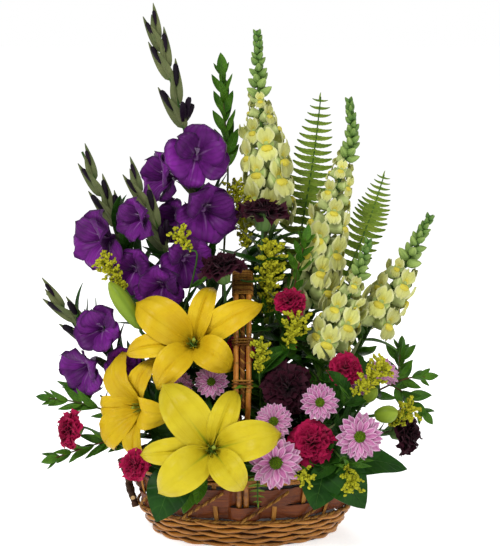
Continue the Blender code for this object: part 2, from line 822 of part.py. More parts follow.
FERNS = {
    "fern_tall": Frond(
        path=(
            (0.100, 0.074, 0.568), (0.094, 0.072, 0.513), (0.086, 0.068, 0.459),
            (0.076, 0.062, 0.400), (0.060, 0.054, 0.310), (0.032, 0.040, 0.200),
            (0.012, 0.026, 0.085),
        ),
        leafy=0.61,
        longest=0.021,
        pairs=12,
    ),
    "fern_right": Frond(
        path=(
            (0.184, 0.060, 0.466), (0.173, 0.059, 0.431), (0.162, 0.056, 0.400),
            (0.142, 0.050, 0.350), (0.105, 0.040, 0.265), (0.064, 0.018, 0.085),
        ),
        leafy=0.76,
        longest=0.017,
        pairs=10,
    ),
    "fern_front": Frond(
        path=(
            (0.016, -0.130, 0.074), (0.016, -0.124, 0.104), (0.015, -0.094, 0.132),
            (0.008, -0.042, 0.104),
        ),
        leafy=0.56,
        longest=0.008,
        pairs=5,
    ),
    "fern_back": Frond(
        path=(
            (0.036, 0.168, 0.390), (0.035, 0.150, 0.340), (0.034, 0.124, 0.270),
            (0.032, 0.092, 0.190), (0.028, 0.042, 0.085),
        ),
        leafy=0.73,
        longest=0.026,
        pairs=9,
        face=(0, 1, 0),
    ),
}


def make_ferns(stems, material):
    """Fronds: a thin rib with pairs of flat leaflets."""
    for name, frond in FERNS.items():
        parts = [stems.planted(frond.path, (0.0010, 0.0020))]
        line = smooth_path(frond.path, 8)
        line = line[: round(frond.leafy * len(line))]
        for pair in range(frond.pairs):
            share = (pair + 0.6) / frond.pairs
            spot = share * (len(line) - 1)
            i = min(int(spot), len(line) - 2)
            root = line[i].lerp(line[i + 1], spot - i)
            along = (line[i] - line[i + 1]).normalized()
            side = along.cross(Vector(frond.face)).normalized()
            reach = frond.longest * (0.35 + 0.65 * math.sin(math.pi * min(share * 0.75 + 0.08, 0.62)))
            for hand in (-1, 1):
                tip = root + hand * side * reach + along * 0.35 * reach
                start = root - hand * side * 0.0006
                parts.append(leaflet(start, tip, 0.0038, SMALL_LEAF_THICK, frond.face))
        fused(name, parts, material)


# --- Lilies ------------------------------------------------------------------------------------------

LILIES = {
    "lily_upper": Lily(
        bloom=Bloom((-0.066, -0.094, 0.274), (-0.05, -1, 0.38), 0.083),
        phase=0.35,
        end=(-0.020, -0.024, 0.083),
        buds=(Bud((-0.172, -0.058, 0.344), (-0.131, -0.064, 0.284), 0.0105, 0.45),),
    ),
    "lily_left": Lily(
        bloom=Bloom((-0.142, -0.074, 0.183), (-0.62, -0.8, 0.05), 0.072),
        phase=0.1,
        end=(-0.050, -0.030, 0.083),
    ),
    "lily_lower": Lily(
        bloom=Bloom((-0.040, -0.168, 0.156), (0, -1, 0.32), 0.085),
        phase=0.25,
        end=(-0.012, -0.038, 0.083),
    ),
}
LILY_PROFILE = ((0.06, 0.0), (0.30, 0.36), (0.72, 0.57), (1.0, 0.51))
LILY_WIDTHS = (1.0, 0.90, 0.34, 0.90)
LILY_THICK = 0.0026
LILY_TUBE = 0.36  # how far behind its throat a lily's stem begins, as a share of its radius


def make_lilies(stems, material):
    """Open lilies: six long petals that flare from a narrow throat, on a leafy stem."""
    for name, lily in LILIES.items():
        bloom = lily.bloom
        look = Vector(bloom.look).normalized()
        bottom = Vector(bloom.place) - look * LILY_TUBE * bloom.radius
        profile = [(bloom.radius * r, bloom.radius * h) for r, h in LILY_PROFILE]
        flower = trumpet(profile, LILY_WIDTHS, LILY_THICK, facing(bottom, look), lily.phase)
        path = route(bottom + look * 0.0006, look, lily.end, 0.28)
        parts = [flower, stems.planted(path, 0.0034, 5)]
        for closed in lily.buds:
            parts.append(long_bud(closed.tip, closed.root, closed.radius))
            aim = (Vector(closed.tip) - Vector(closed.root)).normalized()
            parts.append(branch(Vector(closed.root) + aim * 0.002, aim, path, closed.fork, 0.0024))
        fused(name, parts, material)


def long_bud(tip, root, radius):
    """A long closed bud."""
    tip, root = Vector(tip), Vector(root)
    length = (tip - root).length
    profile = ((0, -0.001, 0), (0.35 * radius, 0, 0), (0.9 * radius, 0.35 * length, 0),
               (radius, 0.60 * length, 0), (0.45 * radius, 0.90 * length, 0), (0, length, 0))
    return lathe(profile, 8, facing(root, tip - root))


def make_buds(stems, material):
    """A lily stem at the right whose buds are all still closed."""
    tip, root = Vector((0.192, -0.104, 0.186)), Vector((0.164, -0.090, 0.178))
    small_tip, small_root = Vector((0.166, -0.094, 0.214)), Vector((0.152, -0.080, 0.194))
    fork = Vector((0.138, -0.074, 0.168))
    stem = stems.planted([root, fork, (0.100, -0.050, 0.136), (0.056, -0.024, 0.080)], 0.0022)
    twig = tube([fork, small_root.lerp(small_tip, 0.05)], 0.0018)
    buds = [long_bud(tip, root, 0.0110), long_bud(small_tip, small_root, 0.0075)]
    fused("lily_buds_right", [stem, twig, *buds], material)


# --- Carnations --------------------------------------------------------------------------------------

BURGUNDY_CARNATIONS = {
    "carnation_burgundy_top": Cluster(
        blooms=(Bloom((0.024, -0.004, 0.432), (0.05, -0.25, 1), 0.031),),
        end=(0.034, 0.002, 0.083),
    ),
    "carnation_burgundy_mid": Cluster(
        blooms=(Bloom((-0.029, -0.064, 0.370), (-0.1, -0.55, 1), 0.029),),
        end=(-0.028, -0.010, 0.083),
    ),
    "carnation_burgundy_front": Cluster(
        blooms=(Bloom((0.056, -0.100, 0.216), (0.15, -1, 0.35), 0.032),),
        end=(0.022, -0.030, 0.083),
    ),
    "carnation_burgundy_right": Cluster(
        blooms=(Bloom((0.216, -0.040, 0.142), (1, -0.45, 0.15), 0.029),),
        end=(0.070, -0.014, 0.090),
    ),
}
MAGENTA_CARNATIONS = {
    "carnation_magenta_top": Cluster(
        blooms=(Bloom((0.059, -0.046, 0.320), (0.2, -0.7, 0.9), 0.021),),
        end=(0.022, -0.008, 0.083),
    ),
    "carnation_magenta_centre": Cluster(
        blooms=(Bloom((-0.006, -0.058, 0.256), (0.1, -1, 0.5), 0.02),),
        end=(-0.004, -0.020, 0.083),
    ),
    "carnation_magenta_right": Cluster(
        blooms=(Bloom((0.128, -0.096, 0.240), (0.3, -1, 0.35), 0.021),),
        end=(0.042, -0.032, 0.083),
    ),
    "carnation_magenta_front": Cluster(
        blooms=(Bloom((0.084, -0.140, 0.154), (0.1, -1, 0.15), 0.028),),
        end=(0.026, -0.042, 0.088),
    ),
    "carnation_magenta_left": Cluster(
        blooms=(
            Bloom((-0.140, -0.140, 0.128), (-0.5, -1, 0.35), 0.019),
            Bloom((-0.232, -0.056, 0.150), (-1, -0.5, 0.15), 0.024),
        ),
        end=(-0.062, -0.026, 0.090),
    ),
    "carnation_magenta_back": Cluster(
        blooms=(Bloom((0.090, 0.112, 0.235), (0.3, 1, 0.7), 0.027),),
        end=(0.044, 0.030, 0.083),
    ),
}
CARNATION_PROFILE = ((0, 0, 0), (0.20, 0.02, 0), (0.24, 0.55, 0), (0.80, 0.78, 0.10), (1.0, 1.04, 0.08),
                     (0.80, 1.34, 0.05), (0, 1.48, 0))
CARNATION_BACK = 0.98  # from the cup's foot to the bloom's middle, as a share of its radius


def make_carnations(stems, kinds, material):
    """Ruffled domes on a long green cup."""
    for name, cluster in kinds.items():
        parts, roots = [], []
        for bloom in cluster.blooms:
            look = Vector(bloom.look).normalized()
            root = Vector(bloom.place) - look * CARNATION_BACK * bloom.radius
            profile = [(bloom.radius * r, bloom.radius * h, ripple) for r, h, ripple in CARNATION_PROFILE]
            parts.append(lathe(profile, 10, facing(root, look), 5))
            roots.append((root + look * 0.001, look))
        path = route(*roots[0], cluster.end, 0.3)
        parts.append(stems.planted(path, 0.0020))
        parts += [branch(root, look, path, 0.62, 0.0016) for root, look in roots[1:]]
        fused(name, parts, material)


def branch(root, look, path, share, radius):
    """A side stem from the back of a flower to a fork on the main stem."""
    line = smooth_path(path, 6)
    fork = line[round(share * (len(line) - 1))]
    return tube([root, root - look * 0.12 * (root - fork).length, fork], radius, 4)


# --- Daisies -----------------------------------------------------------------------------------------

DAISIES = {
    "daisy_spray_front": Cluster(
        blooms=(
            Bloom((0.038, -0.157, 0.136), (0.05, -1, 0.12), 0.033),
            Bloom((0.036, -0.128, 0.180), (-0.1, -1, 0.45), 0.024),
        ),
        end=(0.012, -0.034, 0.080),
    ),
    "daisy_spray_right": Cluster(
        blooms=(
            Bloom((0.141, -0.146, 0.166), (0.25, -1, 0.15), 0.03),
            Bloom((0.093, -0.122, 0.203), (0.1, -1, 0.35), 0.024),
        ),
        end=(0.046, -0.036, 0.080),
    ),
    "daisy_spray_upper": Cluster(
        blooms=(
            Bloom((0.178, -0.056, 0.226), (0.6, -0.6, 0.8), 0.022),
            Bloom((0.148, -0.050, 0.208), (0.3, -0.8, 0.8), 0.017),
        ),
        end=(0.058, -0.008, 0.080),
    ),
    "daisy_spray_left": Cluster(
        blooms=(
            Bloom((-0.042, -0.092, 0.222), (-0.15, -1, 0.4), 0.022),
            Bloom((-0.082, -0.072, 0.212), (-0.3, -1, 0.5), 0.018),
        ),
        end=(-0.030, -0.034, 0.080),
    ),
    "daisy_spray_back": Cluster(
        blooms=(
            Bloom((-0.070, 0.122, 0.210), (-0.2, 1, 0.6), 0.029),
            Bloom((-0.110, 0.098, 0.165), (-0.5, 1, 0.4), 0.025),
        ),
        end=(-0.034, 0.036, 0.080),
    ),
}


# Radius as a share of the flower's, height in metres, and how deeply the rim is notched.
DAISY_PROFILE = ((0, -0.0035, 0), (1.0, 0.0010, 0.07), (0.97, 0.0038, 0.07), (0.25, 0.0040, 0),
                 (0, 0.0085, 0))


def make_daisies(stems, material):
    """Flat round flowers with a raised middle, two on each branching stem."""
    for name, cluster in DAISIES.items():
        parts, backs = [], []
        for bloom in cluster.blooms:
            look = Vector(bloom.look).normalized()
            profile = [(bloom.radius * r, h, ripple) for r, h, ripple in DAISY_PROFILE]
            parts.append(lathe(profile, 12, facing(bloom.place, look), 6))
            backs.append((Vector(bloom.place) - look * 0.002, look))
        path = route(*backs[0], cluster.end, 0.25)
        parts.append(stems.planted(path, 0.0018))
        parts += [branch(back, look, path, 0.55, 0.0014) for back, look in backs[1:]]
        fused(name, parts, material)


# --- Solidago ----------------------------------------------------------------------------------------

SOLIDAGOS = {
    "solidago_top": Spray(
        plumes=(
            ((-0.014, 0.036, 0.462), (-0.006, 0.032, 0.402), 0.011),
            ((0.036, -0.022, 0.386), (0.028, -0.020, 0.306), 0.013),
        ),
        path=((0.014, 0.028, 0.330), (0.010, 0.020, 0.220), (0.002, 0.014, 0.080)),
    ),
    "solidago_left": Spray(
        plumes=(
            ((-0.184, -0.040, 0.372), (-0.152, -0.040, 0.330), 0.01),
            ((-0.084, -0.058, 0.410), (-0.070, -0.058, 0.384), 0.009),
        ),
        path=((-0.118, -0.028, 0.270), (-0.082, -0.010, 0.180), (-0.050, 0.006, 0.080)),
    ),
    "solidago_centre": Spray(
        plumes=(
            ((0.020, -0.104, 0.276), (0.018, -0.092, 0.234), 0.009),
            ((0.066, -0.072, 0.300), (0.054, -0.066, 0.262), 0.013),
        ),
        path=((0.020, -0.066, 0.180), (0.016, -0.024, 0.080)),
    ),
    "solidago_right": Spray(
        plumes=(
            ((0.176, -0.106, 0.250), (0.134, -0.116, 0.210), 0.012),
            ((0.214, -0.082, 0.186), (0.184, -0.076, 0.160), 0.011),
        ),
        path=((0.100, -0.076, 0.158), (0.062, -0.028, 0.080)),
    ),
    "solidago_front": Spray(
        plumes=(
            ((0.134, -0.166, 0.104), (0.126, -0.150, 0.132), 0.009),
            ((0.076, -0.168, 0.118), (0.070, -0.142, 0.126), 0.008),
        ),
        path=((0.094, -0.097, 0.149), (0.050, -0.044, 0.110)),
    ),
    "solidago_back": Spray(
        plumes=(
            ((-0.042, 0.132, 0.196), (-0.038, 0.104, 0.170), 0.011),
            ((-0.112, 0.060, 0.196), (-0.088, 0.052, 0.166), 0.011),
        ),
        path=((-0.034, 0.072, 0.140), (-0.024, 0.034, 0.080)),
    ),
}


def make_solidago(stems, material):
    """Plumes of tiny buds, as knobbly spindles on a thin branching stem."""
    steps = ((0, -0.001), (0.9, 0.26), (0.72, 0.45), (1.0, 0.64), (0, 1))
    for name, spray in SOLIDAGOS.items():
        parts, roots = [], []
        for tip, root, radius in spray.plumes:
            tip, root = Vector(tip), Vector(root)
            length = (tip - root).length
            profile = [(radius * r, length * h, 0.14) for r, h in steps]
            parts.append(lathe(profile, 6, facing(root, tip - root), 3))
            roots.append((root.lerp(tip, 0.05), (tip - root).normalized()))
        path = [roots[0][0], *spray.path]
        parts.append(stems.planted(path, 0.0014))
        parts += [branch(root, look, path, 0.5, 0.0012) for root, look in roots[1:]]
        fused(name, parts, material)


# --- Myrtle and salal --------------------------------------------------------------------------------

MYRTLES = {
    "myrtle_tall": Sprig(
        path=(
            (-0.031, 0.084, 0.604), (-0.027, 0.084, 0.540), (-0.023, 0.082, 0.460),
            (-0.030, 0.070, 0.300), (-0.020, 0.044, 0.085),
        ),
        leafy=0.4,
        leaf=0.028,
        pairs=10,
    ),
    "myrtle_left": Sprig(
        path=(
            (-0.258, -0.024, 0.184), (-0.212, -0.022, 0.176), (-0.150, -0.020, 0.152),
            (-0.074, -0.012, 0.096),
        ),
        leafy=0.5,
        leaf=0.026,
        pairs=4,
        twigs=(((-0.226, 0.002, 0.196), 0.4, 3), ((-0.250, -0.052, 0.110), 0.8, 5)),
    ),
    "myrtle_right": Sprig(
        path=((0.238, 0.010, 0.204), (0.206, 0.008, 0.200), (0.150, 0.004, 0.170), (0.074, 0.008, 0.098)),
        leafy=0.46,
        leaf=0.026,
        pairs=4,
        twigs=(((0.206, 0.024, 0.240), 0.38, 3), ((0.238, 0.012, 0.152), 0.44, 3)),
    ),
    "myrtle_centre": Sprig(
        path=(
            (0.078, -0.014, 0.394), (0.066, -0.014, 0.340), (0.050, -0.012, 0.240),
            (0.034, -0.004, 0.085),
        ),
        leafy=0.4,
        leaf=0.028,
        pairs=6,
    ),
    "myrtle_back": Sprig(
        path=((0.150, 0.110, 0.330), (0.125, 0.092, 0.270), (0.098, 0.060, 0.190), (0.056, 0.028, 0.085)),
        leafy=0.55,
        leaf=0.03,
        pairs=6,
        twigs=(((0.150, 0.112, 0.250), 0.5, 3),),
    ),
}


def twig_leaves(line, reach, length, pairs, chance):
    """Pairs of small leaves down a twig from its tip, with one leaf at the end."""
    end = (line[0] - line[1]).normalized()
    leaves = [leaflet(line[1], line[0] + end * 0.6 * length, 0.0042, SMALL_LEAF_THICK, (0, -1, 0.3))]
    for pair in range(pairs):
        spot = reach * (pair + 1) / pairs * (len(line) - 1)
        i = min(int(spot), len(line) - 2)
        root = line[i].lerp(line[i + 1], spot - i)
        along = (line[i] - line[i + 1]).normalized()
        turn = chance.uniform(-0.5, 0.5) + pair * 1.1
        side = Matrix.Rotation(turn, 3, along) @ along.cross(Vector((0, 1, 0))).normalized()
        for hand in (-1, 1):
            tip = root + length * (0.72 * along + hand * 0.62 * side) * chance.uniform(0.85, 1.0)
            start = root - hand * side * 0.0008
            leaves.append(leaflet(start, tip, 0.0050, SMALL_LEAF_THICK, along.cross(side)))
    return leaves


def make_myrtle(stems, material):
    """Sprays of small pointed leaves in pairs."""
    chance = random.Random(7)
    for name, sprig in MYRTLES.items():
        parts = [stems.planted(sprig.path, (0.0010, 0.0018))]
        line = smooth_path(sprig.path, 8)
        parts += twig_leaves(line, sprig.leafy, sprig.leaf, sprig.pairs, chance)
        for tip, share, twig_pairs in sprig.twigs:
            fork = line[round(share * (len(line) - 1))]
            twig = smooth_path([Vector(tip), Vector(tip).lerp(fork, 0.5) + Vector((0, 0, 0.006)), fork], 3)
            parts.append(tube(twig[::2], 0.0010, 4))
            parts += twig_leaves(twig, 0.8, sprig.leaf, twig_pairs, chance)
        fused(name, parts, material)


SALALS = {
    "salal_front_left": Bough(
        leaves=(
            ((-0.084, -0.128, 0.122), (-0.108, -0.146, 0.058), 0.025, (-0.2, -1, 0.3)),
            ((-0.086, -0.128, 0.122), (-0.046, -0.142, 0.104), 0.018, (0.1, -0.6, 1)),
        ),
        path=((-0.084, -0.127, 0.122), (-0.068, -0.090, 0.130), (-0.042, -0.038, 0.104)),
    ),
    "salal_front_right": Bough(
        leaves=(
            ((0.100, -0.118, 0.122), (0.090, -0.142, 0.078), 0.024, (0, -1, 0.4)),
            ((0.100, -0.118, 0.122), (0.150, -0.132, 0.078), 0.022, (0.2, -1, 0.4)),
            ((0.100, -0.118, 0.122), (0.206, -0.090, 0.108), 0.02, (0.1, -0.5, 1)),
        ),
        path=((0.100, -0.116, 0.122), (0.101, -0.090, 0.118), (0.079, -0.036, 0.104)),
    ),
    "salal_back_right": Bough(
        leaves=(
            ((0.036, 0.120, 0.124), (0.030, 0.144, 0.070), 0.024, (0.1, 1, 0.4)),
            ((0.036, 0.120, 0.124), (0.092, 0.126, 0.082), 0.024, (0.2, 1, 0.4)),
            ((0.036, 0.120, 0.124), (0.064, 0.128, 0.196), 0.022, (0.1, 1, 0.1)),
        ),
        path=((0.036, 0.121, 0.124), (0.034, 0.086, 0.132), (0.018, 0.040, 0.104)),
    ),
    "salal_back_left": Bough(
        leaves=(
            ((-0.050, 0.118, 0.124), (-0.030, 0.144, 0.072), 0.024, (-0.1, 1, 0.4)),
            ((-0.050, 0.118, 0.124), (-0.102, 0.120, 0.084), 0.024, (-0.2, 1, 0.4)),
            ((-0.050, 0.118, 0.124), (0.000, 0.122, 0.186), 0.02, (-0.1, 1, 0.1)),
        ),
        path=((-0.050, 0.119, 0.124), (-0.048, 0.086, 0.132), (-0.036, 0.044, 0.104)),
    ),
}


def make_salal(stems, material):
    """Large leaves that come out of the foam and hang over the rim."""
    for name, bough in SALALS.items():
        parts = [stems.planted(bough.path, 0.0020)]
        for root, tip, half_width, face in bough.leaves:
            start = Vector(root) - (Vector(tip) - Vector(root)).normalized() * 0.0012
            parts.append(blade(start, tip, half_width, 0.0018, face, curl=-0.03))
        fused(name, parts, material)


# --- The whole arrangement ---------------------------------------------------------------------------


def main():
    """Build every piece."""
    clear_scene()
    willow = paint("willow", (0.46, 0.22, 0.07), 0.5)
    splint = paint("chip_wood", (0.19, 0.06, 0.02), 0.55)
    straw = paint("straw", (0.35, 0.17, 0.06), 0.8)
    bark = paint("bark", (0.05, 0.02, 0.01), 0.7)
    cane = paint("cane", (0.50, 0.21, 0.06), 0.4)
    leaf = paint("leaf", (0.01, 0.05, 0.005), 0.4)
    fern = paint("fern", (0.06, 0.15, 0.02), 0.5)

    make_base(willow)
    make_foot_weave(willow)
    make_stakes(willow)
    make_splint("splint_lower", LOWER_SPLINT, 1, splint)
    make_splint("splint_upper", UPPER_SPLINT, -1, splint)
    make_braid(straw)
    make_rim(willow)
    make_end_ties(bark)
    make_handle(cane, straw)
    make_liner(paint("liner", (0.45, 0.46, 0.47), 0.35))

    stems = Stems()
    make_gladioli(stems, paint("gladiolus_petal", (0.10, 0.015, 0.20), 0.5))
    make_snapdragons(stems, paint("snapdragon_petal", (0.68, 0.66, 0.19), 0.55))
    make_ferns(stems, fern)
    make_lilies(stems, paint("lily_petal", (0.80, 0.58, 0.01), 0.45))
    make_buds(stems, paint("lily_bud", (0.35, 0.42, 0.05), 0.5))
    make_carnations(stems, BURGUNDY_CARNATIONS, paint("burgundy_petal", (0.04, 0.003, 0.02), 0.7))
    make_carnations(stems, MAGENTA_CARNATIONS, paint("magenta_petal", (0.40, 0.005, 0.08), 0.7))
    make_daisies(stems, paint("daisy_petal", (0.58, 0.27, 0.52), 0.6))
    make_solidago(stems, paint("solidago_bud", (0.52, 0.52, 0.03), 0.7))
    make_myrtle(stems, leaf)
    make_salal(stems, leaf)
    make_foam(stems.holes, paint("floral_foam", (0.03, 0.12, 0.05), 0.95))


main()
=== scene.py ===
"""Looks of the flower basket arrangement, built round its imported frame.

Metres, +Z up. Every flower, spray and basket part is one piece that stands for one node of the frame
and rides on its body. A shape is modelled once on the bench and copied into the pieces that hold it.
"""

import logging
import math
from dataclasses import dataclass
from enum import Enum
from typing import Callable, Iterable, Optional, Sequence, Union

import bpy
import numpy as np
from mathutils import Matrix, Vector


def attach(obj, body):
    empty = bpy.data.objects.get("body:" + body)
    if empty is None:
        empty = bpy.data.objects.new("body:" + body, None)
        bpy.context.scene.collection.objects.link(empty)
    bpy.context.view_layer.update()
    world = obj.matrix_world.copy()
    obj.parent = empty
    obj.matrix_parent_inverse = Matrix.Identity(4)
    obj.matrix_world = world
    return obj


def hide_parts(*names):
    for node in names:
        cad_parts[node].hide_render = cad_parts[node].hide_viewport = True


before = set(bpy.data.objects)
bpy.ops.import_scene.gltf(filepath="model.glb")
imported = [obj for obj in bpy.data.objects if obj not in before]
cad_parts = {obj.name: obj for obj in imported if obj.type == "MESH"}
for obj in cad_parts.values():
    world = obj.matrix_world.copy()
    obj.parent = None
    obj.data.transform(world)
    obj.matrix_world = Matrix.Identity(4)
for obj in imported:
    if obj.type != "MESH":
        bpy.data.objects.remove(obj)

log = logging.getLogger("arrangement")
Array = np.ndarray
Triple = tuple[float, float, float]
Colour = tuple[float, float, float]
Line = Sequence[Vector]
UP = Vector((0, 0, 1))
FRONT = Vector((0, -1, 0))
PIGMENT = 0.74
GOLDEN_ANGLE = math.pi * (3 - math.sqrt(5))


# --- Shapes ---


@dataclass
class Form:
    """A finished shape as plain arrays, ready to be copied into pieces."""

    points: Array
    corners: Array
    sizes: Array
    chart: Array

    def placed(self, matrix: Matrix) -> Array:
        """Return the points after a matrix."""
        turn = np.array(matrix.to_3x3(), float)
        return self.points @ turn.T + np.array(matrix.translation, float)


Forms = Sequence[Form]


class Bench:
    """The modelling bench: one shape at a time is made of a primitive, shaped and taken off as a form."""

    @staticmethod
    def clear() -> None:
        """Leave edit mode and select nothing."""
        if bpy.context.object and bpy.context.object.mode != "OBJECT":
            bpy.ops.object.mode_set(mode="OBJECT")
        bpy.ops.object.select_all(action="DESELECT")

    @staticmethod
    def sheet(columns: int, rows: int) -> bpy.types.Object:
        """Add a flat sheet that spans -1 to 1 along X and Y.

        Args:
            columns: faces along X.
            rows: faces along Y.

        Returns:
            The new object, selected and active.
        """
        Bench.clear()
        bpy.ops.mesh.primitive_grid_add(x_subdivisions=columns, y_subdivisions=rows, size=2.0)
        return bpy.context.object

    @staticmethod
    def ball(fineness: int) -> bpy.types.Object:
        """Add a ball of radius 1 from an icosahedron split a number of times.

        Args:
            fineness: how many times it is split.

        Returns:
            The ball.
        """
        Bench.clear()
        bpy.ops.mesh.primitive_ico_sphere_add(subdivisions=fineness, radius=1.0)
        return bpy.context.object

    @staticmethod
    def drum(sides: int, rings: int) -> bpy.types.Object:
        """Add a closed drum of radius 1 from Z 0 to 1, cut into rings along its height.

        Args:
            sides: corners round it.
            rings: rows of faces up its side.

        Returns:
            The new object, selected and active.
        """
        Bench.clear()
        bpy.ops.mesh.primitive_cylinder_add(vertices=sides, radius=1.0, depth=1.0, location=(0, 0, 0.5))
        thing = bpy.context.object
        bpy.ops.object.transform_apply(location=True)
        bpy.ops.object.mode_set(mode="EDIT")
        for ring in range(1, rings):
            bpy.ops.mesh.select_all(action="SELECT")
            bpy.ops.mesh.bisect(plane_co=(0, 0, ring / rings), plane_no=(0, 0, 1))
        bpy.ops.object.mode_set(mode="OBJECT")
        return thing

    @staticmethod
    def shaped(thing: bpy.types.Object, shape: Callable) -> bpy.types.Object:
        """Move every corner to where a function of the corners' X, Y and Z puts it.

        Args:
            thing: the object.
            shape: the function.

        Returns:
            The object.
        """
        mesh = thing.data
        flat = np.empty(len(mesh.vertices) * 3)
        mesh.vertices.foreach_get("co", flat)
        x, y, z = flat.reshape(-1, 3).T
        moved = np.stack(np.broadcast_arrays(*shape(x, y, z)), axis=1)
        mesh.vertices.foreach_set("co", moved.ravel())
        mesh.update()
        return thing

    @staticmethod
    def modified(thing: bpy.types.Object, kind: str, **settings: object) -> bpy.types.Object:
        """Add a modifier with its settings and apply it.

        Args:
            thing: the object.
            kind: the modifier's type.
            settings: the modifier's settings.

        Returns:
            The object.
        """
        bpy.context.view_layer.objects.active = thing
        modifier = thing.modifiers.new(kind.title(), kind)
        for name, value in settings.items():
            setattr(modifier, name, value)
        bpy.ops.object.modifier_apply(modifier=modifier.name)
        return thing

    @staticmethod
    def merged(thing: bpy.types.Object, near: float, filled: bool = False) -> None:
        """Merge corners that lie nearer than a distance, then close the holes if asked.

        Args:
            thing: the object.
            near: the distance.
            filled: whether its holes are closed.
        """
        bpy.context.view_layer.objects.active = thing
        bpy.ops.object.mode_set(mode="EDIT")
        bpy.ops.mesh.select_all(action="SELECT")
        bpy.ops.mesh.remove_doubles(threshold=near)
        if filled:
            bpy.ops.mesh.fill_holes(sides=0)
        bpy.ops.object.mode_set(mode="OBJECT")

    @staticmethod
    def taken(thing: bpy.types.Object) -> Form:
        """Read a finished shape off the bench and clear it away.

        Args:
            thing: the object.

        Returns:
            The shape.
        """
        mesh = thing.data
        points = np.empty(len(mesh.vertices) * 3)
        mesh.vertices.foreach_get("co", points)
        corners = np.empty(len(mesh.loops), int)
        mesh.loops.foreach_get("vertex_index", corners)
        sizes = np.empty(len(mesh.polygons), int)
        mesh.polygons.foreach_get("loop_total", sizes)
        chart = np.zeros(len(mesh.loops) * 2)
        if mesh.uv_layers:
            mesh.uv_layers[0].uv.foreach_get("vector", chart)
        bpy.data.objects.remove(thing, do_unlink=True)
        bpy.data.meshes.remove(mesh)
        return Form(points.reshape(-1, 3), corners, sizes, chart.reshape(-1, 2))

    @staticmethod
    def leaf(columns: int, rows: int, thick: float, shape: Callable) -> Form:
        """Model a thin blade: a sheet bent by a shape function, then given its thickness.

        Args:
            columns: faces across.
            rows: faces from root to tip.
            thick: thickness.
            shape: takes arrays of across (-1 to 1) and along (0 to 1), gives X, Y and Z.

        Returns:
            The blade as a closed form, its root at the origin, its length along +Y, its face up +Z.
        """
        thing = Bench.sheet(columns, rows)
        Bench.shaped(thing, lambda x, y, z: shape(x, 0.5 * (y + 1)))
        Bench.modified(thing, "SOLIDIFY", thickness=thick, offset=0.0)
        return Bench.taken(thing)

    @staticmethod
    def turned(sides: int, profile: Sequence, ridges: int = 0, depth: float = 0.0) -> Form:
        """Model a turned solid along +Z.

        Args:
            sides: corners round it.
            profile: radius and height at even steps from foot to head.
            ridges: ridges round it.
            depth: how deep the ridges are, as a share of the radius.

        Returns:
            The closed form.
        """
        radii, heights = np.array(profile, float).T
        steps = np.linspace(0, 1, len(profile))

        def shape(x: Array, y: Array, z: Array) -> tuple:
            """Return where the corners at X, Y and Z go."""
            angle = np.arctan2(y, x)
            radius = np.interp(z, steps, radii) * (1 + depth * np.cos(ridges * angle))
            return radius * np.cos(angle), radius * np.sin(angle), np.interp(z, steps, heights)

        return Bench.taken(Bench.shaped(Bench.drum(sides, len(profile) - 1), shape))


def at(x: float, y: float, z: float) -> Triple:
    """Return a place given in millimetres, in metres."""
    return x / 1000, y / 1000, z / 1000


def run(*places: Triple) -> tuple[Triple, ...]:
    """Return the places of a path given in millimetres, in metres."""
    return tuple(at(*place) for place in places)


def move(x: float, y: float, z: float) -> Matrix:
    """Return the matrix of a move."""
    return Matrix.Translation((x, y, z))


def spin(angle: float, axis: str = "Z") -> Matrix:
    """Return the matrix of a turn about an axis."""
    return Matrix.Rotation(angle, 4, axis)


def stretch(x: float, y: Optional[float] = None, z: Optional[float] = None) -> Matrix:
    """Return the matrix of a stretch along each axis, or the same along all three."""
    return Matrix.Diagonal((x, x if y is None else y, x if z is None else z, 1))


def lengths(line: Sequence) -> Array:
    """Return how far along a line each of its points lies."""
    steps = np.diff(np.array([tuple(point) for point in line], float), axis=0)
    return np.concatenate([[0], np.cumsum(np.linalg.norm(steps, axis=1))])


def resampled(line: Line, marks: Array, spots: Array) -> list[Vector]:
    """Return points of a line at some spots, told by the marks that its own points have."""
    axes = np.array([tuple(point) for point in line]).T
    return [Vector(point) for point in zip(*(np.interp(spots, marks, axis) for axis in axes))]


def stand(line: Line, spot: float) -> tuple[Vector, Vector]:
    """Return the point that is a number of steps down a line, and the way back to its start there."""
    i = min(int(spot), len(line) - 2)
    return line[i].lerp(line[i + 1], spot - i), (line[i] - line[i + 1]).normalized()


def smooth_path(points: Sequence, steps: int) -> list[Vector]:
    """Return points of a smooth curve through the given ones.

    Args:
        points: points that the curve passes.
        steps: steps on each stretch between two of them.

    Returns:
        The curve's points, from the first given one to the last.
    """
    knots = [Vector(point) for point in points]
    ends = [2 * knots[0] - knots[1], *knots, 2 * knots[-1] - knots[-2]]
    path = []
    for a, b, c, d in zip(ends, ends[1:], ends[2:], ends[3:]):
        for step in range(steps):
            t = step / steps
            bend = (2 * a - 5 * b + 4 * c - d) + t * (3 * b - a - 3 * c + d)
            path.append(b + 0.5 * t * ((c - a) + t * bend))
    return [*path, knots[-1]]


